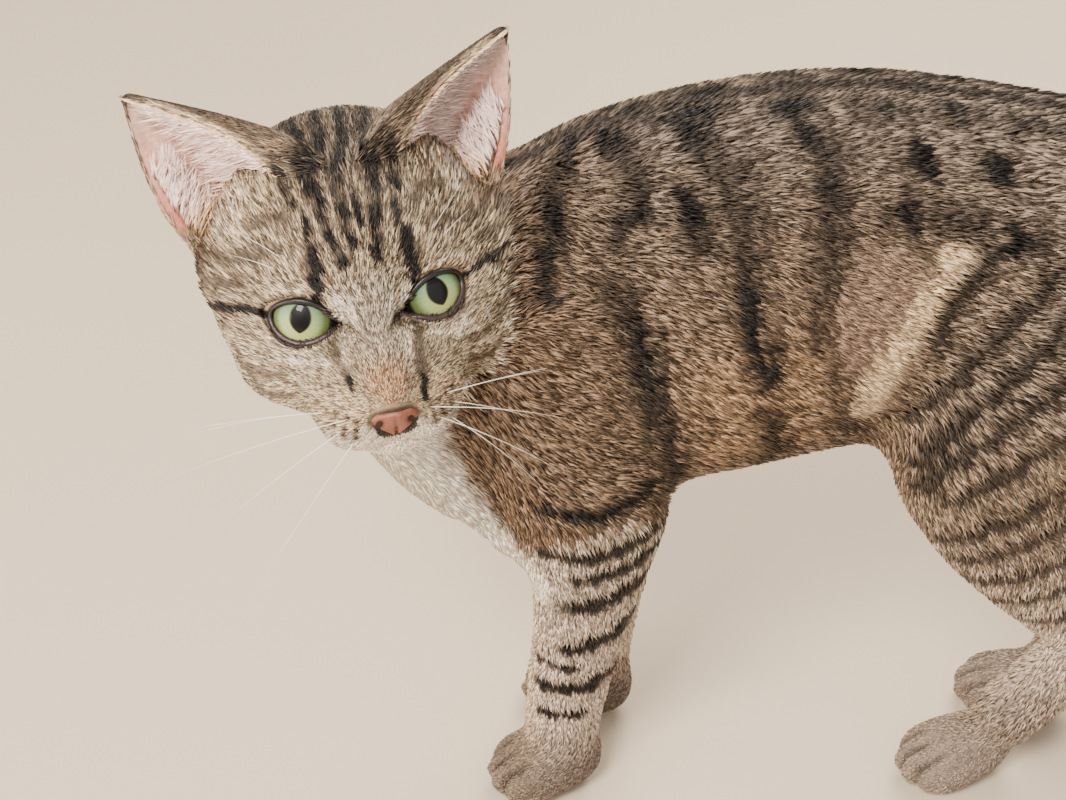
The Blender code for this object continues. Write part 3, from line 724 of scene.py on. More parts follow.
def markings(points, part):
    """The coat's colour at each point, and how much of it is black stripe and how much plain pale."""
    body = body_places(points)
    head = head_places(points)
    ragged = wander(body, 7, 3)
    cloudy = wander(body, 26, 5)
    count = len(points)
    colour = np.tile(GROUND, (count, 1)) * (1 + 0.10 * cloudy)[:, None]
    back, height = body[:, 1], body[:, 2]

    middle = np.interp(back, BACK_AT, BODY_MIDDLE)
    tall = np.interp(back, BACK_AT, BODY_HALF_HEIGHT)
    wide = np.interp(back, BACK_AT, BODY_HALF_WIDTH)
    girth = np.arctan2(np.abs(body[:, 0]) / wide, (height - middle) / tall) * GIRTH_RADIUS
    is_back = part == PART["ear_back"]
    is_head = (part == PART["head"]) | is_back
    is_fore = among(part, FORELEGS)
    is_hind = among(part, HINDLEGS)
    is_tail = part == PART["tail"]
    is_trunk = among(part, ["trunk", "neck"])
    right = body[:, 0] < 0

    # The trunk and neck: a dark spine, a buff flank low down and a paler belly, chest and throat.
    flat = np.stack([back + 3 * right * np.sin(girth / 13), girth], 1)
    black = np.where(is_trunk, strokes(flat, FLANK_STROKES, 1.3 * ragged, 0.75), 0.0)
    black *= np.clip(0.92 + 0.2 * cloudy, 0, 1)
    spine = fade(1.5, 4.5, np.abs(body[:, 0]) + 0.8 * ragged)
    black = np.where(is_trunk & (height > middle), np.maximum(black, 0.85 * spine), black)
    dark_back = fade(18, 70, girth) * is_trunk
    colour = mixed(colour, SPINE_GROUND, 0.55 * dark_back)
    tan = smooth(62, 84, girth) * fade(112, 128, girth) * smooth(30, 50, back) * fade(66, 92, back)
    colour = mixed(colour, TAN, 0.6 * tan * is_trunk)
    belly = smooth(118, 150, girth) * is_trunk
    colour = mixed(colour, CREAM * 0.8, 0.7 * belly)
    shoulder = fade(-6, 36, back) * is_trunk
    colour = mixed(colour, SHOULDER_GROUND, 0.5 * shoulder)
    rump = smooth(94, 118, back) * (is_trunk | is_hind)
    colour = mixed(colour, RUMP_GROUND, 0.5 * rump)
    fold_gap, _ = nearest_on(FOLD_LINE, flat)
    thin_gap = np.hypot((back - 90) / 13, (girth - 72) / 20)
    thin = fade(0.7, 1.25, thin_gap) * (is_trunk | is_hind)
    colour = mixed(colour, THIN_GROUND, 0.9 * thin)
    fold = fade(1.5, 6.5, fold_gap + ragged) * (is_trunk | is_hind)
    colour = mixed(colour, FOLD_BUFF, 0.95 * fold)
    black *= 1 - 0.9 * np.maximum(thin, fold)
    bib_edge = np.interp(height, BIB_HEIGHTS, BIB_REACH) - 0.6 * np.maximum(-6 - body[:, 0], 0)
    bib_edge -= 0.3 * np.maximum(body[:, 0] - 34, 0) + 0.8 * np.maximum(height - 168, 0)
    bib = fade(-2, 7, back - bib_edge + 2.5 * ragged)
    pale = bib * (height > 92) * (is_trunk | is_fore)

    # The hind legs and forelegs: bars on the outer side, greyer and paler towards the feet, and painted
    # shade in the clefts between the toes.
    plane = np.stack([back - 8 * right, height], 1)
    outer = np.where(np.abs(body[:, 0]) > 14, 1.0, 0.4)
    thigh = 0.9 * strokes(plane, THIGH_BARS, 1.4 * ragged, 0.65) * outer * smooth(92, 104, back)
    black = np.maximum(black, np.where(is_hind | (is_trunk & (girth > 40)), thigh, 0))
    shift = np.where(right, PAWS["foreleg_right"][1] * 1000, PAWS["foreleg_left"][1] * 1000) - 6
    plane = np.stack([back - shift, height], 1)
    bars = strokes(plane, FORELEG_STROKES, ragged)
    leg_middle = np.where(right, PAWS["foreleg_right"][0] * 1000 - 4, PAWS["foreleg_left"][0] * 1000 + 4)
    outward = np.where(right, leg_middle - body[:, 0], body[:, 0] - leg_middle)
    bars *= 0.35 + 0.65 * smooth(-9, -1, outward)
    black = np.maximum(black, np.where(is_fore | (is_trunk & (height < 152)), bars, 0))
    low_leg = fade(116, 176, height) * is_fore + fade(70, 146, height) * is_hind
    colour = mixed(colour, LEG_GREY, 0.9 * low_leg)
    inside_leg = fade(-12, -2, outward) * is_fore + (np.abs(body[:, 0]) < 12) * is_hind
    colour = mixed(colour, CREAM, 0.35 * inside_leg)
    shin = fade(-2, 5, back - shift + 1.5 * ragged) * is_fore * fade(96, 116, height)
    colour = mixed(colour, CREAM, 0.75 * shin)
    fore_foot = fade(14, 38, height) * is_fore
    colour = mixed(colour, FOREPAW_GROUND, 0.85 * fore_foot)
    hind_foot = fade(26, 64, height) * is_hind
    colour = mixed(colour, HINDPAW_GROUND, 0.85 * hind_foot)
    # Painted shade: the clefts between the toes are darkened.
    black = np.maximum(black, 0.8 * toe_clefts(points, part))

    # The tail: dark rings and a black tip.
    gap, place = nearest_on(TAIL_LINE, body)
    ring = smooth(-0.15, 0.35, np.sin(2 * math.pi * place * TAIL_RINGS + 0.4 * ragged))
    black = np.maximum(black, np.where(is_tail, np.maximum(0.92 * ring, smooth(0.88, 0.93, place)), 0))

    # The head: lines over the crown and face, pale round the eyes, rust on the nose, white lips.
    mirrored = folded(head)
    wobble = wander(head, 3.2, 8)
    crown = strokes(head, CROWN_STROKES, wobble, 0.5) * (0.75 + 0.25 * smooth(-0.7, 0.0, wander(head, 6, 9)))
    soft_lines = 0.72 * strokes(head, SOFT_STROKES, wobble, 0.7)
    lines = np.maximum(strokes(head, FACE_STROKES, wobble, 0.5), soft_lines)
    paleness = strokes(head, PALE_STROKES, wobble, 0.6)
    muzzle = blot(head, (0, -8, -29), (17, 22, 9.5), 0.65, 1.25, 0.06 * wobble)
    chin = smooth(27, 32, -head[:, 2]) * fade(4, 20, head[:, 1])
    rust = blot(head, (0, -21, -11.5), (6, 8, 5.5), 0.3, 1.35)
    pad_tan = blot(mirrored, (11.5, 0, -19), (8.5, np.inf, 5.5), 0.4, 1.3) * (head[:, 1] < -6)
    dots = sum(np.exp(-((np.linalg.norm(head - spot, axis=1) / 0.8) ** 2)) for spot in WHISKER_SPOTS)
    dots = np.clip(1.1 * dots, 0, 1)
    cheek = smooth(14, 28, mirrored[:, 0]) * smooth(0, 14, -head[:, 2])
    bridge = fade(5, 9, mirrored[:, 0]) * fade(-4, 2, head[:, 1]) * smooth(-9, -3, head[:, 2])
    ear_foot = blot(mirrored, (40, 27, 6), (7, 8, 8), 0.6, 1.1)
    lid_gap = np.full(count, 9.0)
    for side in (-1, 1):
        local = along(points, gaze(side).inverted())
        opening = lid_opening(np.arctan2(local[:, 2], local[:, 0] * side))
        gap = (np.hypot(local[:, 0], local[:, 2]) - opening) * 1000
        lid_gap = np.where(np.abs(local[:, 1]) < 0.012, np.minimum(lid_gap, gap), lid_gap)
    lid_ring = fade(0.9, 1.7, lid_gap) * is_head
    spectacle = fade(2.0, 5.5, lid_gap) * (1 - lid_ring)
    nose_gap = np.hypot(mirrored[:, 0] / 6.4, (head[:, 2] + 22.4) / 5.2)
    nose_edge = fade(1.02, 1.22, nose_gap) * (head[:, 1] < -15) * smooth(-24, -21, head[:, 2])
    mouth_gap, _ = nearest_on(MOUTH_MARK, mirrored)
    mouth_line = fade(0.3, 0.9, mouth_gap)
    colour = mixed(colour, HEAD_GROUND, 0.8 * is_head)
    cap = fade(7, 17, mirrored[:, 0]) * smooth(22, 34, head[:, 2]) * smooth(0, 8, head[:, 1])
    for hue, share in (
        (CROWN_CAP, 0.75 * cap), (CREAM, 0.45 * cheek), (CREAM, 0.30 * spectacle),
        (BRIDGE_GREY, 0.6 * bridge), (FACE_PALE, 0.85 * paleness), (RUST, 0.75 * rust),
        (WHISKER_PAD, 0.7 * pad_tan),
    ):
        colour = mixed(colour, hue, share * is_head)
    black_head = np.maximum(np.maximum(crown, lines) * (1 - 0.6 * paleness), 0.75 * ear_foot)
    # Painted shade: the hide behind the nose pad is made dark, so that the nostril dents show dark.
    nostril_shade_under_pad = (nose_gap < 0.9) & (head[:, 1] < -15)
    black_head *= 1 - 0.9 * muzzle
    for mark in (dots, 0.95 * lid_ring, 0.8 * nose_edge, 0.6 * mouth_line, 0.9 * nostril_shade_under_pad):
        black_head = np.maximum(black_head, mark)
    black = np.where(is_head, black_head, black)
    pale_head = np.maximum(0.9 * muzzle, chin) * (1 - 0.6 * pad_tan) * (1 - dots) * ~nostril_shade_under_pad
    pale = np.where(is_head, pale_head, pale)

    # The ears: brown behind with a pale rim and dark tips, buff at the foot, bare pink within.
    up_ear = smooth(40, 54, head[:, 2])
    on_ear = is_back * smooth(33, 46, head[:, 2] + 0.25 * (mirrored[:, 0] - 20) + 2 * wobble)
    is_inside = part == PART["ear_inside"]
    rim_gap, rim_place = nearest_on(EAR_RIM, mirrored)
    rim = fade(0.8, 2.2, rim_gap) * fade(0.80, 0.96, rim_place)
    buff = blot(mirrored, (25, 27, 21), (11, 12, 9), 0.6, 1.15)
    dark_foot = blot(mirrored, (41, 33, 11), (6, 9, 7), 0.6, 1.1)
    colour = mixed(colour, EAR_BACK, on_ear)
    colour = mixed(colour, CREAM, np.maximum(0.9 * rim * is_back, 0.7 * buff * is_head))
    ear_black = np.maximum((0.2 + 0.6 * up_ear) * (1 - rim) * (1 - buff), 0.7 * dark_foot)
    black = np.where(is_back, black * (1 - on_ear) + ear_black * on_ear, black)
    deep = fade(14, 30, head[:, 2] + 10 - 0.3 * mirrored[:, 0])
    inside = mixed(np.tile(EAR_PINK, (count, 1)), EAR_DEEP_PINK, deep)
    inside = mixed(inside, EAR_PALE_PINK, smooth(34, 50, head[:, 2]))
    colour = np.where(is_inside[:, None], inside, colour)
    black = np.where(is_inside, 0, black)
    pale = np.where(is_inside | is_back, 0, pale)

    colour = mixed(colour, WHITE, pale)
    black = black * (1 - 0.9 * pale)
    pale = np.maximum(pale, 0.8 * np.maximum(thin, fold))
    colour = mixed(colour, STRIPE, black)
    return colour, black, np.clip(pale, 0, 1)


# ---------------------------------------------------------------- Hide's finish
# The hide shows only between hairs, in the ears and at the lids, so its finish is that of short dense
# down: the markings, darkened by painted shade of the hair over it except in the bare ear hollows,
# with a fine nap that breaks up its sheen.
HIDE_SHADE = 0.62


def grain_group():
    """A fine grain shared by hide, nose leather and lids: a mask and a bump normal."""
    group = bpy.data.node_groups.new("fine_grain", "ShaderNodeTree")
    for label, default in (("Scale", 900.0), ("Strength", 0.4), ("Distance", 0.0002)):
        socket = group.interface.new_socket(label, in_out="INPUT", socket_type="NodeSocketFloat")
        socket.default_value = default
    group.interface.new_socket("Mask", in_out="OUTPUT", socket_type="NodeSocketFloat")
    group.interface.new_socket("Normal", in_out="OUTPUT", socket_type="NodeSocketVector")
    entry = group.nodes.new("NodeGroupInput")
    leave = group.nodes.new("NodeGroupOutput")
    place = group.nodes.new("ShaderNodeTexCoord")
    noise = group.nodes.new("ShaderNodeTexNoise")
    noise.inputs["Detail"].default_value = 4
    bump = group.nodes.new("ShaderNodeBump")
    wire(
        group.links,
        (place, "Object", noise, "Vector"),
        (entry, "Scale", noise, "Scale"),
        (noise, "Fac", bump, "Height"),
        (entry, "Strength", bump, "Strength"),
        (entry, "Distance", bump, "Distance"),
        (noise, "Fac", leave, "Mask"),
        (bump, "Normal", leave, "Normal"),
    )
    return group


GRAIN = grain_group()


def painted_material(name, roughness, specular, grain_scale, strength, dark=0.75, light=1.15):
    """A finish whose colour is the piece's own paint attribute, broken up by the fine grain."""
    material, nodes, links, shader = new_material(name, roughness, specular)
    colours = nodes.new("ShaderNodeAttribute")
    colours.attribute_name = "paint"
    grain = nodes.new("ShaderNodeGroup")
    grain.node_tree = GRAIN
    grain.inputs["Scale"].default_value = grain_scale
    grain.inputs["Strength"].default_value = strength
    spread = nodes.new("ShaderNodeMapRange")
    for label, value in (("From Min", 0.3), ("From Max", 0.7), ("To Min", dark), ("To Max", light)):
        spread.inputs[label].default_value = value
    shade = nodes.new("ShaderNodeVectorMath")
    shade.operation = "SCALE"
    wire(
        links,
        (grain, "Mask", spread, "Value"),
        (colours, "Color", shade, 0),
        (spread, "Result", shade, "Scale"),
        (shade, "Vector", shader, "Base Color"),
        (grain, "Normal", shader, "Normal"),
    )
    return material


def paint(mesh, colours):
    """Gives each point its colour, which the finishes read."""
    layer = mesh.color_attributes.new("paint", "FLOAT_COLOR", "POINT")
    layer.data.foreach_set("color", np.concatenate([colours, np.ones((len(colours), 1))], 1).ravel())


hide_colour, _, _ = markings(hide_points, hide_part)
inside_ear = (hide_part == PART["ear_inside"])[:, None]
# Painted shade: the hide is darkened under the hair, but not in the bare ear hollows.
paint(hide, np.where(inside_ear, hide_colour, hide_colour * HIDE_SHADE))
hide_object = placed("hide", hide, painted_material("hide_finish", 0.75, 0.2, 700, 0.5))
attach(hide_object, "root")
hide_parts(*FLESH, *EARS)

# ---------------------------------------------------------------- Eyes
# Glossy eyeballs with a green iris, yellower below and darker above under a painted shadow of the
# upper lid, a dark ring round it and an upright black pupil that comes to a point below. A dark
# bare rim of lid runs round each opening.
PUPIL_HALF_WIDTH = 0.0029
PUPIL_HALF_HEIGHT = 0.0039
PUPIL_PLACE = (-0.0002, 0.0008)
IRIS_OUTER = tone(66, 80, 36)
IRIS_UPPER_SHADED = tone(100, 130, 102)
IRIS_LOWER = tone(168, 182, 112)
IRIS_INNER = tone(166, 168, 92)
EYE_EDGE = tone(18, 14, 12)
PUPIL = tone(4, 4, 5)
EYE_RINGS, EYE_SPOKES = 90, 144
LID_STEPS, LID_SIDES = 120, 10
LID_DARK = tone(20, 13, 13)
LID_BROWN = tone(58, 38, 40)


def painted_mesh(name, points, faces, colours, inward=None):
    """A smooth mesh with painted points and outward faces, made thick where inward is given."""
    mesh = bpy.data.meshes.new(name)
    mesh.from_pydata([tuple(point) for point in points], [], faces)
    paint(mesh, colours)
    form = bmesh.new()
    form.from_mesh(mesh)
    bmesh.ops.remove_doubles(form, verts=form.verts, dist=1e-7)
    if inward is not None:
        grown = bmesh.ops.extrude_face_region(form, geom=form.faces[:])["geom"]
        for item in grown:
            if isinstance(item, bmesh.types.BMVert):
                item.co += inward
    bmesh.ops.recalc_face_normals(form, faces=form.faces)
    form.to_mesh(mesh)
    form.free()
    mesh.shade_smooth()
    return mesh


def eyeball(side):
    """A ball with the iris and pupil painted round its gaze line."""
    points = []
    for ring in range(EYE_RINGS + 1):
        angle = math.pi * (ring / EYE_RINGS) ** 1.35
        for spoke in range(EYE_SPOKES):
            turn = 2 * math.pi * spoke / EYE_SPOKES
            reach = EYE_RADIUS * math.sin(angle)
            points.append(
                (reach * math.cos(turn), EYE_RADIUS * (EYE_SUNK - math.cos(angle)), reach * math.sin(turn))
            )
    points = np.array(points)
    reach = np.hypot(points[:, 0], points[:, 2])
    turn = np.arctan2(points[:, 2], points[:, 0])
    waves = ((23, 0.4), (41, 1.9), (67, 3.1), (97, 0.7))
    fibres = sum(np.sin(turn * rate + phase) for rate, phase in waves) / len(waves)
    # Painted shadow of the upper lid: the iris darkens from its lower colour up to the darker upper one.
    height = smooth(-0.006, 0.005, points[:, 2])
    colours = IRIS_LOWER + (IRIS_UPPER_SHADED - IRIS_LOWER) * height[:, None]
    colours = colours * (1 + 0.16 * fibres * smooth(0.001, 0.006, reach))[:, None]
    colours = mixed(colours, IRIS_INNER, 0.5 * fade(0.0028, 0.0046, reach))
    colours = mixed(colours, IRIS_OUTER, 0.85 * smooth(0.0044, 0.0067, reach))
    colours = mixed(colours, EYE_EDGE, smooth(0.0068, 0.0076, reach))
    across = (points[:, 0] - PUPIL_PLACE[0] * side) / PUPIL_HALF_WIDTH
    up = (points[:, 2] - PUPIL_PLACE[1]) / PUPIL_HALF_HEIGHT
    taper = np.where(up > 0, np.sqrt(np.clip(1 - up**2, 0, 1)), np.clip(1 - up**2, 0, 1) ** 0.8)
    inside = smooth(-0.12, 0.12, taper - np.abs(across)) * (np.abs(up) < 1) * (points[:, 1] < 0)
    colours = mixed(colours, PUPIL, inside)
    return painted_mesh("eyeball", along(points, gaze(side)), bands(EYE_RINGS, EYE_SPOKES), colours)


eye_finish = painted_material("eye_finish", 0.45, 0.15, 1500, 0.0, 0.97, 1.03)
eye_shader = eye_finish.node_tree.nodes["Principled BSDF"]
for label, value in (("Coat Weight", 1.0), ("Coat Roughness", 0.02), ("Coat IOR", 1.2)):
    eye_shader.inputs[label].default_value = value
for side, word in SIDES:
    ball = placed(f"eyeball_{word}", eyeball(side), eye_finish)
    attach(ball, "root")
    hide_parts(f"eye_{word}")


def lid_rim(side):
    """A bare leathery lip round the lid opening, thickest below and at the inner corner."""
    points = []
    for step in range(LID_STEPS):
        turn = 2 * math.pi * step / LID_STEPS - math.pi
        opening = float(lid_opening(np.array([turn]))[0])
        thick = 0.00075 + 0.00020 * abs(math.sin(turn)) + 0.0003 * max(-math.cos(turn), 0) ** 6
        centre_reach = opening + 0.0002
        depth = float(ball_depth(EYE_RADIUS + 0.0003, np.array([centre_reach]))[0])
        for corner in range(LID_SIDES):
            bend = 2 * math.pi * corner / LID_SIDES
            reach = centre_reach + thick * math.cos(bend)
            ahead = depth - thick * 1.15 * math.sin(bend)
            place = Vector((reach * math.cos(turn) * side, ahead, reach * math.sin(turn)))
            points.append(tuple(gaze(side) @ place))
    faces = (np.array(bands(LID_STEPS, LID_SIDES)) % len(points)).tolist()
    below = fade(-0.004, 0.001, along(np.array(points), gaze(side).inverted())[:, 2])
    colours = mixed(np.tile(LID_DARK, (len(points), 1)), LID_BROWN, below)
    return painted_mesh("lid_rim", points, faces, colours)


lid_finish = painted_material("lid_finish", 0.38, 0.45, 2500, 0.35)
for side, word in SIDES:
    rim = placed(f"lid_rim_{word}", lid_rim(side), lid_finish)
    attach(rim, "root")

# ---------------------------------------------------------------- Coat
# The hair, as many thousands of thin closed locks rooted in the hide. Each leaves it at a low
# angle and lies back along the body; they are shortest and finest on the nose, ears and feet.
SHARE_OF_LOCKS = 1.0
LOCK_SUNK = 0.0004
LOCK_BELLY = 0.42
TEMPLE = (39, 22, 4)
PATCH = 0.003
HAIR = {
    "head": (0.0050, 0.00040), "neck": (0.0066, 0.00050),
    "trunk": (0.0062, 0.00048), "tail": (0.0066, 0.00052),
    **dict.fromkeys(FORELEGS, (0.0044, 0.00042)), **dict.fromkeys(HINDLEGS, (0.0054, 0.00048)),
    "ear_back": (0.0030, 0.00030), "ear_inside": (0.0090, 0.00022),
}
RUFF_LONGER = 0.0030
RUFF_HIGHER = 0.0024
EAR_ROOT_LONGER = 0.0030
EAR_ROOT_HIGHER = 0.0014
LIGHT_LOCKS = 0.38
DARK_LOCKS = 0.62
LOCK_SWAY = 0.16
PATCH_SWAY = 0.22
LENGTH_SPREAD = (0.72, 1.22)
WIDTH_SPREAD = (0.7, 1.3)
HEIGHT_SPREAD = (0.30, 1.0)
BELLY_HEIGHT = 0.72
TIP_HEIGHT = 0.98
TIP_GAP = 0.00005
HEAD_CONTRAST = 1.4
LOCKS = {
    "face": 48000, "crown": 40000, "ears": 20000, "neck": 30000, "trunk": 40000,
    "tail": 21000, **dict.fromkeys(FORELEGS, 21000), **dict.fromkeys(HINDLEGS, 23000),
}
TRUNK_PIECES = ((-99, 50), (50, 100), (100, 999))
rng = np.random.default_rng(20)


def leg_lie(body, part):
    """Down the leg, and forwards over the paw and the hind foot."""
    height = body[:, 2]
    hind = among(part, HINDLEGS)
    forward = fade(16, 34, height)
    foot = hind * fade(62, 84, height)
    thigh = hind * smooth(104, 130, height)
    back = 0.12 - 0.9 * forward - 0.55 * foot * (1 - forward) + 0.55 * thigh
    return np.stack([0 * height, back, -1 + 0.65 * forward], 1)


def lies():
    """Which way the hair lies at each point of the hide, as unit vectors along the surface."""
    body = body_places(hide_points)
    head = along(hide_points, head_inverse)
    flank = np.clip(1 - np.abs(hide_normals[:, 2]), 0, 1)
    lie = np.stack([0 * flank, 0 * flank + 1, -0.42 * flank], 1)
    chest = smooth(0.2, 0.8, -hide_normals[:, 1]) * among(hide_part, ["trunk", "neck"])
    lie = lie * (1 - chest)[:, None] + np.array((0, 0.1, -1.0)) * chest[:, None]
    is_leg = among(hide_part, FORELEGS + HINDLEGS)
    lie = np.where(is_leg[:, None], leg_lie(body, hide_part), lie)
    line = np.array(TAIL_LINE, float)
    _, place = nearest_on(TAIL_LINE, body)
    step = np.clip((place * (len(line) - 1)).astype(int), 0, len(line) - 2)
    lie = np.where((hide_part == PART["tail"])[:, None], unit(np.diff(line, axis=0))[step], lie)
    from_nose = head - NOSE_TIP
    from_nose[:, 2] += 0.10 * from_nose[:, 1]
    from_nose = from_nose @ np.array(HEAD.to_3x3()).T
    lie = np.where((hide_part == PART["head"])[:, None], unit(from_nose), lie)
    lie = relaxed(unit(lie), hide_edges, 25)
    to_tip = np.array([on_side(EAR_TIP, side) for side, _ in SIDES])
    ear_side = (head[:, 0] < 0).astype(int)
    on_ear = among(hide_part, EAR_SKIN)
    lie = np.where(on_ear[:, None], unit(to_tip[ear_side] - hide_points), lie)
    lie -= hide_normals * (lie * hide_normals).sum(1)[:, None]
    return unit(lie)


def hair_sizes():
    """Length and width of a lock, and the coat's depth, at each point of the hide."""
    body = body_places(hide_points)
    head = head_places(hide_points)
    sizes = np.array([HAIR[name] for name in PARTS])[hide_part]
    length, width = sizes[:, 0], sizes[:, 1]
    on_head = hide_part == PART["head"]
    from_nose = np.linalg.norm(head - NOSE_TIP * 1000, axis=1)
    length = np.where(on_head, 0.0012 + 0.000068 * np.minimum(from_nose, 60), length)
    width = np.where(on_head, 0.00023 + 0.0000042 * np.minimum(from_nose, 60), width)
    is_leg = among(hide_part, FORELEGS + HINDLEGS)
    high = smooth(60, 170, body[:, 2])
    length = np.where(is_leg, 0.0036 + 0.0028 * high, length)
    foot = fade(12, 30, body[:, 2])
    length = np.where(is_leg, length * (1 - 0.55 * foot), length)
    width = np.where(is_leg, width * (1 - 0.4 * foot), width)
    ear_root = fade(32, 46, head[:, 2]) * fade(22, 30, np.abs(head[:, 0]))
    ear_root = ear_root * (hide_part == PART["ear_back"])
    ruff = np.exp(-((np.linalg.norm(folded(head) - TEMPLE, axis=1) / 11) ** 2)) * on_head
    length = length + EAR_ROOT_LONGER * ear_root + RUFF_LONGER * ruff
    fields = relaxed(np.stack([length, width], 1), hide_edges, 15)
    cover = np.zeros(len(hide_points))
    cover[: len(depth)] = depth[:, 0]
    cover = np.maximum(cover, np.where(among(hide_part, EAR_SKIN), 0.0006, 0.0))
    return fields[:, 0], fields[:, 1], cover + EAR_ROOT_HIGHER * ear_root + RUFF_HIGHER * ruff


hide_lie = lies()
hair_length, hair_width, coat_cover = hair_sizes()


def unwrapped(faces, name):
    """Each corner's place on a flat unwrap of these faces of the hide, faces by 3 by 2."""
    used, local = np.unique(faces, return_inverse=True)
    mesh = bpy.data.meshes.new(name)
    mesh.from_pydata(hide_points[used].tolist(), [], local.reshape(-1, 3).tolist())
    holder = placed(name, mesh)
    bpy.context.view_layer.objects.active = holder
    for other in bpy.context.selected_objects:
        other.select_set(False)
    holder.select_set(True)
    bpy.ops.object.mode_set(mode="EDIT")
    bpy.ops.mesh.select_all(action="SELECT")
    bpy.ops.uv.smart_project(angle_limit=math.radians(66), island_margin=0.004)
    bpy.ops.object.mode_set(mode="OBJECT")
    flat = np.empty(len(mesh.loops) * 2)
    mesh.uv_layers.active.uv.foreach_get("vector", flat)
    bpy.data.objects.remove(holder)
    bpy.data.meshes.remove(mesh)
    return flat.reshape(-1, 3, 2)


def on_hide(points, heights):
    """Points brought to given heights over the hide, with the hide's outward direction there."""
    found = [hide_tree.find_nearest(point) for point in points]
    feet = np.array([place for place, _, _, _ in found])
    out = np.array([normal for _, normal, _, _ in found])
    return feet + out * heights[:, None], out


def lock_mesh(name, roots, bellies, tips, outs, widths, colours, flat_places):
    """Thin closed locks of four points: a root, the two sides of a raised belly, and a tip."""
    count = len(roots)
    side = unit(np.cross(tips - roots, outs)) * (widths / 2)[:, None]
    points = np.stack([roots, bellies + side, bellies - side, tips], 1).reshape(-1, 3)
    pattern = np.array([(0, 1, 2), (3, 2, 1), (0, 3, 1), (0, 2, 3)])
    faces = (pattern[None] + 4 * np.arange(count)[:, None, None]).reshape(-1, 3)
    mesh = bpy.data.meshes.new(name)
    mesh.vertices.add(len(points))
    mesh.vertices.foreach_set("co", points.ravel())
    mesh.loops.add(faces.size)
    mesh.loops.foreach_set("vertex_index", faces.ravel().astype(np.int32))
    mesh.polygons.add(len(faces))
    mesh.polygons.foreach_set("loop_start", np.arange(0, faces.size, 3, dtype=np.int32))
    mesh.update(calc_edges=True)
    mesh.shade_smooth()
    paint(mesh, colours.reshape(-1, 3))
    corner = np.array([(0, -0.5), (0.5, 0), (-0.5, 0), (0, 0.5)]) * PATCH
    places = (flat_places[:, None] + corner[None]).reshape(-1, 2)
    layer = mesh.uv_layers.new(name="OFBake")
    layer.uv.foreach_set("vector", np.clip(places[faces.ravel()], 0, 1).ravel())
    return mesh


coat_finish = painted_material("coat_finish", 0.52, 0.32, 420, 0.0, 0.86, 1.12)


def grow(name, chosen, kind, rise=1.0):
    """One piece of the coat: locks rooted at random over the chosen faces of the hide."""
    count = int(LOCKS[kind] * SHARE_OF_LOCKS)
    faces = hide_faces[chosen]
    corners = hide_points[faces]
    across = np.cross(corners[:, 1] - corners[:, 0], corners[:, 2] - corners[:, 0])
    area = np.linalg.norm(across, axis=1)
    crowd = area / (hair_width[faces].mean(1) * hair_length[faces].mean(1)) ** 0.5
    picked = rng.choice(len(faces), count, p=crowd / crowd.sum())
    blend = rng.dirichlet((1, 1, 1), count)[:, :, None]
    places = (unwrapped(faces, name)[picked] * blend).sum(1)
    faces = faces[picked]
    feet = (hide_points[faces] * blend).sum(1)
    outs = unit((hide_normals[faces] * blend).sum(1))
    lie = unit((hide_lie[faces] * blend).sum(1))
    blend = blend[:, :, 0]
    turn = (rng.normal(0, LOCK_SWAY, count) + PATCH_SWAY * wander(feet, 0.012, 4))[:, None]
    lie = unit(lie * np.cos(turn) + np.cross(outs, lie) * np.sin(turn))
    length = (hair_length[faces] * blend).sum(1) * rng.uniform(*LENGTH_SPREAD, count)
    width = (hair_width[faces] * blend).sum(1) * rng.uniform(*WIDTH_SPREAD, count)
    cover = (coat_cover[faces] * blend).sum(1) * rise
    high = rng.uniform(*HEIGHT_SPREAD, count) ** 0.8
    lift = cover * high * BELLY_HEIGHT
    bellies, belly_out = on_hide(feet + lie * (LOCK_BELLY * length)[:, None], lift)
    tips, _ = on_hide(feet + lie * length[:, None], cover * high * TIP_HEIGHT + TIP_GAP)
    part = hide_part[faces[:, 0]]
    base, black, pale = markings(bellies - belly_out * lift[:, None], part)
    luck = np.clip(rng.uniform(0, 1, count) + 0.16 * wander(feet, 0.0028, 12), 0, 1)
    calm = np.maximum(0.85 * pale, 0.4 * fade(0.05, 0.12, feet[:, 2]))
    ticked = (1 - black) * (1 - calm)
    crisp = np.where(part == PART["head"], HEAD_CONTRAST, 1.0)[:, None]
    light = np.minimum((base * 1.75 + 0.07) * crisp, 0.88)
    dim = base * 0.18 / crisp**2
    is_light, is_dark = luck < LIGHT_LOCKS, luck > DARK_LOCKS
    tip = np.where(is_light[:, None], light, np.where(is_dark[:, None], dim, base))
    tip = base * 1.04 + (tip - base * 1.04) * (0.2 + 0.8 * ticked)[:, None]
    shade = np.where(is_light, 1.10, np.where(is_dark, 0.42, 0.85))
    belly = base * (1 + (shade - 1) * (1 - calm))[:, None]
    belly = np.where((black > 0.5)[:, None], base, belly)
    belly = belly * (1 + 0.16 * rng.normal(0, 1, count) * (1 - pale))[:, None]
    # Painted shade: each lock's root lies deep in the coat and is darkened, less so where the coat is pale.
    root = base * (0.40 + 0.40 * pale)[:, None]
    colours = np.clip(np.stack([root, belly, belly, tip], 1), 0.002, 0.95)
    mesh = lock_mesh(name, feet - outs * LOCK_SUNK, bellies, tips, belly_out, width, colours, places)
    piece = placed(name, mesh, coat_finish)
    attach(piece, "root")


face_part = hide_part[hide_faces[:, 0]]
face_middle = hide_points[hide_faces].mean(1)
face_head = head_places(face_middle)
face_body = body_places(face_middle)


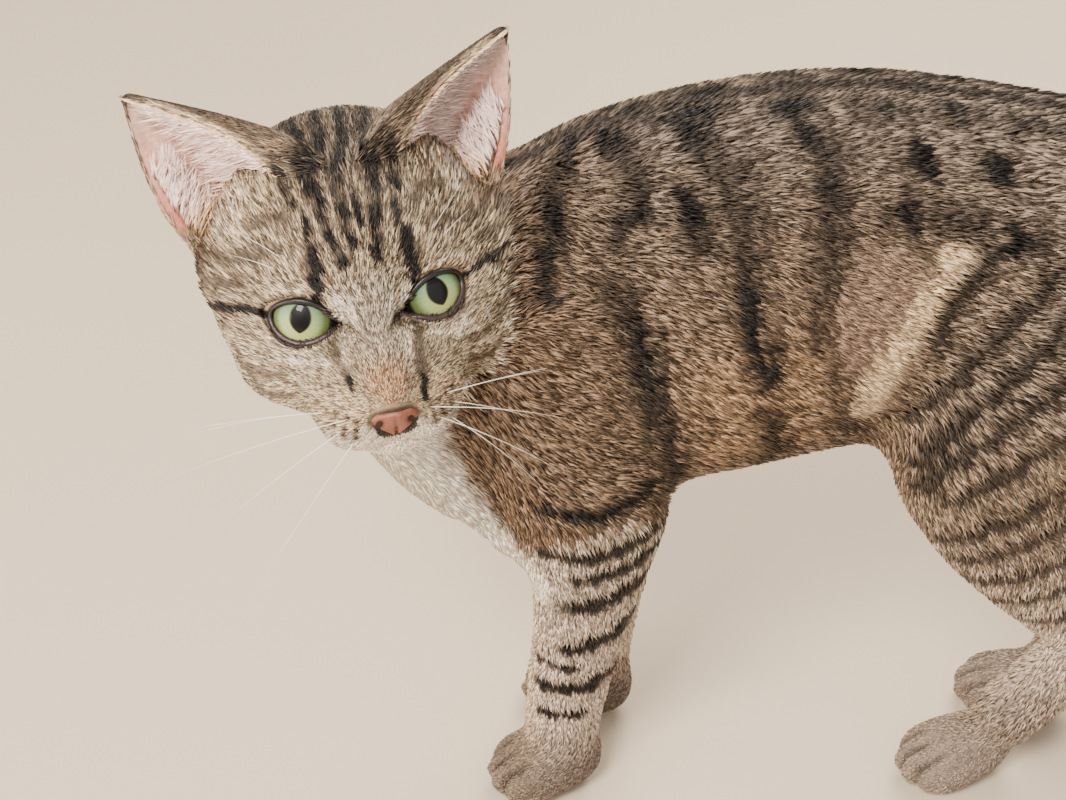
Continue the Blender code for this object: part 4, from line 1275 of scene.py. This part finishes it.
def clear_of_eyes():
    """False inside the lid openings and on the nose leather, where no hair grows."""
    bare = np.zeros(len(face_middle), bool)
    for side in (-1, 1):
        local = along(face_middle, gaze(side).inverted())
        opening = lid_opening(np.arctan2(local[:, 2], local[:, 0] * side))
        bare |= (np.hypot(local[:, 0], local[:, 2]) < opening * 1.14) & (local[:, 1] < 0.010)
    pad = np.hypot(face_head[:, 0] / 6.0, (face_head[:, 2] + 20.5) / 4.6) < 1
    return ~(bare | (pad & (face_head[:, 1] < -17)))


growing = clear_of_eyes()
on_head = (face_part == PART["head"]) & growing
off_floor = face_middle[:, 2] > 0.0016
grow("coat_face", on_head & (face_head[:, 1] < 8), "face")
grow("coat_crown", on_head & (face_head[:, 1] >= 8), "crown")
grow("coat_ears", face_part == PART["ear_back"], "ears")
grow("coat_neck", face_part == PART["neck"], "neck", rise=0.95)
for number, (start, end) in enumerate(TRUNK_PIECES):
    here = (face_part == PART["trunk"]) & (face_body[:, 1] >= start) & (face_body[:, 1] < end)
    grow(f"coat_trunk_{number + 1}", here, "trunk")
for name in FORELEGS + HINDLEGS:
    grow(f"coat_{name}", (face_part == PART[name]) & off_floor, name)
grow("coat_tail", face_part == PART["tail"], "tail")

# ---------------------------------------------------------------- Hair in the ears
# Long soft white hairs that grow from the inner edge of each ear and sweep out across its bare
# hollow, with a close pale fringe along the rim.
EAR_HAIRS = 3800
FRINGE_SHARE = 0.22
FRINGE_LENGTHS = (0.003, 0.006)
EAR_HAIR_LENGTHS = (0.007, 0.014)
EAR_HAIR_WIDTHS = (0.00008, 0.00016)
EAR_HAIR_WHITE = tone(255, 230, 220)


def ear_hairs(side):
    """The hairs of one ear, as closed locks like those of the coat."""
    count = int(EAR_HAIRS * SHARE_OF_LOCKS)
    drawn = np.random.default_rng(31 + side)
    roots, bellies, tips, outs, widths, colours = [], [], [], [], [], []
    for _ in range(count):
        rim = drawn.uniform() < FRINGE_SHARE
        up = drawn.uniform(0.02, 0.95) if rim else drawn.uniform(-0.04, 0.80)
        across = drawn.uniform(0.01, 0.05) if rim else 0.03 + 0.50 * drawn.uniform() ** 1.4 * (1 - 0.4 * up)
        if drawn.uniform() < 0.12 and not rim:
            across = 1 - across * 0.4
            up *= 0.6
        root, backwards = ear_place(min(across, 0.97), up, 0.12)
        length = drawn.uniform(*FRINGE_LENGTHS if rim else EAR_HAIR_LENGTHS)
        length *= 1 if rim else 1 - 0.45 * max(up, 0)
        goal_across = across + (0.18 if rim else drawn.uniform(0.35, 0.75)) * (1 if across < 0.55 else -0.6)
        goal_up = min(max(up, 0) + drawn.uniform(0.05, 0.4), 0.97)
        goal, _ = ear_place(min(max(goal_across, 0.02), 0.98), goal_up)
        run = (goal - root).normalized()
        lift = -backwards * drawn.uniform(0.0006, 0.0028)
        belly = root + run * length * 0.45 + lift
        tip = root + run * length + lift * drawn.uniform(0.4, 1.1)
        for store, place in ((roots, root), (bellies, belly), (tips, tip)):
            store.append(on_side(place, side))
        outs.append(HEAD.to_3x3() @ Vector((-backwards.x * side, -backwards.y, -backwards.z)))
        widths.append(drawn.uniform(*EAR_HAIR_WIDTHS))
        white = (CREAM if rim or up < 0.08 else EAR_HAIR_WHITE) * drawn.uniform(0.85, 1.1)
        # Painted shade: the root of each hair is a little darker than the rest.
        colours.append([white * 0.85, white, white, white])
    spread = np.stack([np.linspace(0.02, 0.98, count), 0.5 + 0.45 * np.sin(np.arange(count))], 1)
    return lock_mesh("ear_hairs", *map(np.array, (roots, bellies, tips, outs, widths, colours)), spread)


for side, word in SIDES:
    hairs = placed(f"ear_hairs_{word}", ear_hairs(side), coat_finish)
    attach(hairs, "root")

# ---------------------------------------------------------------- Nose
# A small pad of bare brick-pink leather, wide at the top and drawn to a point at the cleft of
# the lip, with a comma-shaped nostril at each side and a thin black edge. Painted shade darkens
# the nostril dents and the cleft.
NOSE_COLUMNS, NOSE_ROWS = 49, 41
NOSE_TOP, NOSE_BOTTOM = -0.0176, -0.0276
NOSE_WIDTHS = [(0.0, 0.0046), (0.22, 0.0063), (0.45, 0.0060), (0.68, 0.0034), (0.85, 0.0017), (1.0, 0.0009)]
NOSE_THICK = 0.0012
NOSE_PINK = tone(140, 78, 60)
NOSE_EDGE_AND_SHADE = tone(44, 26, 24)


def nose_pad():
    """A sheet laid on the muzzle, swollen between its edges and dented at nostrils and cleft."""
    levels, halves = zip(*NOSE_WIDTHS)
    points, colours = [], []
    forward = HEAD.to_3x3() @ Vector((0, 1, 0))
    for row in range(NOSE_ROWS):
        down = row / (NOSE_ROWS - 1)
        half = float(np.interp(down, levels, halves))
        for column in range(NOSE_COLUMNS):
            across = 2 * column / (NOSE_COLUMNS - 1) - 1
            x = half * across
            z = NOSE_TOP + (NOSE_BOTTOM - NOSE_TOP) * down - 0.0010 * across**2 * (1 - down)
            start = HEAD @ Vector((x, -0.045, z))
            found = hide_tree.ray_cast(start, forward)[0] or HEAD @ Vector((x, -0.018, z))
            place = head_inverse @ found
            edge = min(1 - abs(across), 2.4 * down, 2.4 * (1 - down))
            swell = 0.0013 * math.sin(min(edge / 0.32, 1) * math.pi / 2) - 0.0004
            out = abs(across) - 0.66
            nostril = math.exp(-((out / 0.17) ** 2) - ((down - 0.40 - 0.25 * out) / 0.13) ** 2)
            slit = math.exp(-(((abs(across) - 0.92) / 0.20) ** 2) - ((down - 0.50) / 0.07) ** 2)
            cleft = math.exp(-((x / 0.00045) ** 2)) * min(1, down * 1.6)
            dent = 0.0017 * max(nostril, 0.8 * slit) + 0.0006 * cleft
            points.append(tuple(HEAD @ Vector((place.x, place.y - swell + dent, place.z))))
            rim = 1 - min(edge / 0.14, 1)
            # Painted shade in the nostril dents, the slits beside them and the cleft; the thin black rim is
            # the leather's own colour.
            dark = min(max(1.15 * nostril**0.8, 0.9 * slit, 0.75 * rim, 0.45 * cleft), 1)
            colours.append(NOSE_PINK * (1 - dark) + NOSE_EDGE_AND_SHADE * dark)
    faces = [
        (row * NOSE_COLUMNS + column, row * NOSE_COLUMNS + column + 1,
         (row + 1) * NOSE_COLUMNS + column + 1, (row + 1) * NOSE_COLUMNS + column)
        for row in range(NOSE_ROWS - 1)
        for column in range(NOSE_COLUMNS - 1)
    ]
    return painted_mesh("nose", points, faces, np.array(colours), forward * NOSE_THICK)


nose = placed("nose_pad", nose_pad(), painted_material("nose_leather", 0.42, 0.45, 1800, 0.45, 0.85, 1.1))
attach(nose, "root")

# ---------------------------------------------------------------- Whiskers
# Stiff white whiskers in rows on the lips, which sweep out, down and back, and a few over each
# eye. Each is one bent hair, thick at the root and drawn out to nothing at the tip.
WHISKER_THICK = 0.00013
WHISKER_POINTS = 16
WHISKER_SAG = 0.6
WHISKER_SWEEP = 0.7
BROW_WHISKERS = ((16, -1, 12.5, 0.75, 0.026), (20, 1, 12, 0.45, 0.018))


def whisker_tree():
    """Turns each edge path into a round tapered hair."""
    tree = bpy.data.node_groups.new("whisker_maker", "GeometryNodeTree")
    tree.interface.new_socket("Geometry", in_out="INPUT", socket_type="NodeSocketGeometry")
    thick = tree.interface.new_socket("Thickness", in_out="INPUT", socket_type="NodeSocketFloat")
    thick.default_value = WHISKER_THICK
    tree.interface.new_socket("Finish", in_out="INPUT", socket_type="NodeSocketMaterial")
    tree.interface.new_socket("Geometry", in_out="OUTPUT", socket_type="NodeSocketGeometry")
    nodes = tree.nodes
    entry, leave = nodes.new("NodeGroupInput"), nodes.new("NodeGroupOutput")
    curve = nodes.new("GeometryNodeMeshToCurve")
    along_curve = nodes.new("GeometryNodeSplineParameter")
    taper = nodes.new("ShaderNodeMath")
    taper.operation = "SUBTRACT"
    taper.inputs[0].default_value = 1.02
    radius = nodes.new("ShaderNodeMath")
    radius.operation = "MULTIPLY"
    set_radius = nodes.new("GeometryNodeSetCurveRadius")
    section = nodes.new("GeometryNodeCurvePrimitiveCircle")
    section.inputs["Resolution"].default_value = 6
    section.inputs["Radius"].default_value = 1.0
    tube = nodes.new("GeometryNodeCurveToMesh")
    tube.inputs["Fill Caps"].default_value = True
    realize = nodes.new("GeometryNodeRealizeInstances")
    dress = nodes.new("GeometryNodeSetMaterial")
    wire(
        tree.links,
        (entry, "Geometry", curve, "Mesh"),
        (along_curve, "Factor", taper, 1),
        (taper, 0, radius, 0),
        (entry, "Thickness", radius, 1),
        (curve, "Curve", set_radius, "Curve"),
        (radius, 0, set_radius, "Radius"),
        (set_radius, "Curve", tube, "Curve"),
        (section, "Curve", tube, "Profile Curve"),
        (radius, 0, tube, "Scale"),
        (tube, "Mesh", realize, "Geometry"),
        (realize, "Geometry", dress, "Geometry"),
        (entry, "Finish", dress, "Material"),
        (dress, "Geometry", leave, "Geometry"),
    )
    items = [item for item in tree.interface.items_tree if item.in_out == "INPUT"]
    return tree, {item.name: item.identifier for item in items}


whisker_finish, _, _, whisker_shader = new_material("whisker_finish", 0.3, 0.5)
whisker_shader.inputs["Base Color"].default_value = (*tone(246, 240, 230), 1)


def whisker_paths():
    """Each whisker's root, in the head's millimetres, its first direction, its length and its droop."""
    drawn = np.random.default_rng(77)
    paths = []
    for across, back, height in WHISKER_ROWS[::-1][::2] + WHISKER_ROWS[3:15:8]:
        side = 1 if across > 0 else -1
        reach = (abs(across) - 8) / 8
        fan = (height + 22.5) / 3
        length = 0.030 + 0.020 * (1 - abs(reach - 0.35)) + drawn.uniform(-0.004, 0.006)
        aim = Vector((side * (0.80 + 0.1 * fan), -0.10 + 0.55 * reach, -0.48 + 0.42 * fan)).normalized()
        paths.append(((across, back, height), aim, length, drawn.uniform(0.4, 0.7)))
    for side in (-1, 1):
        for x, y, z, rise, length in BROW_WHISKERS:
            aim = Vector((side * 0.75, 0.35, rise)).normalized()
            paths.append(((side * x, y, z), aim, length, 0.5))
    return paths


whisker_seed = bpy.data.meshes.new("whisker_paths")
whisker_points, whisker_edges = [], []
bend = head_inverse.to_3x3() @ Vector((0, 0, -1)) * WHISKER_SAG + Vector((0, WHISKER_SWEEP, 0))
for root, aim, length, droop in whisker_paths():
    start = head_inverse @ hide_tree.find_nearest(HEAD @ (Vector(root) / 1000))[0]
    for step in range(WHISKER_POINTS):
        share = step / (WHISKER_POINTS - 1)
        place = start + aim * (length * share) + bend * (droop * length * share**2.2)
        if step:
            whisker_edges.append((len(whisker_points) - 1, len(whisker_points)))
        whisker_points.append(tuple(HEAD @ place))
whisker_seed.from_pydata(whisker_points, whisker_edges, [])
seed = placed("whisker_seed", whisker_seed)
tree, inputs = whisker_tree()
maker = seed.modifiers.new("make", "NODES")
maker.node_group = tree
maker[inputs["Thickness"]] = WHISKER_THICK
maker[inputs["Finish"]] = whisker_finish
whisker_mesh = bpy.data.meshes.new_from_object(seed.evaluated_get(bpy.context.evaluated_depsgraph_get()))
bpy.data.objects.remove(seed)
whiskers = placed("whiskers", whisker_mesh)
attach(whiskers, "root")
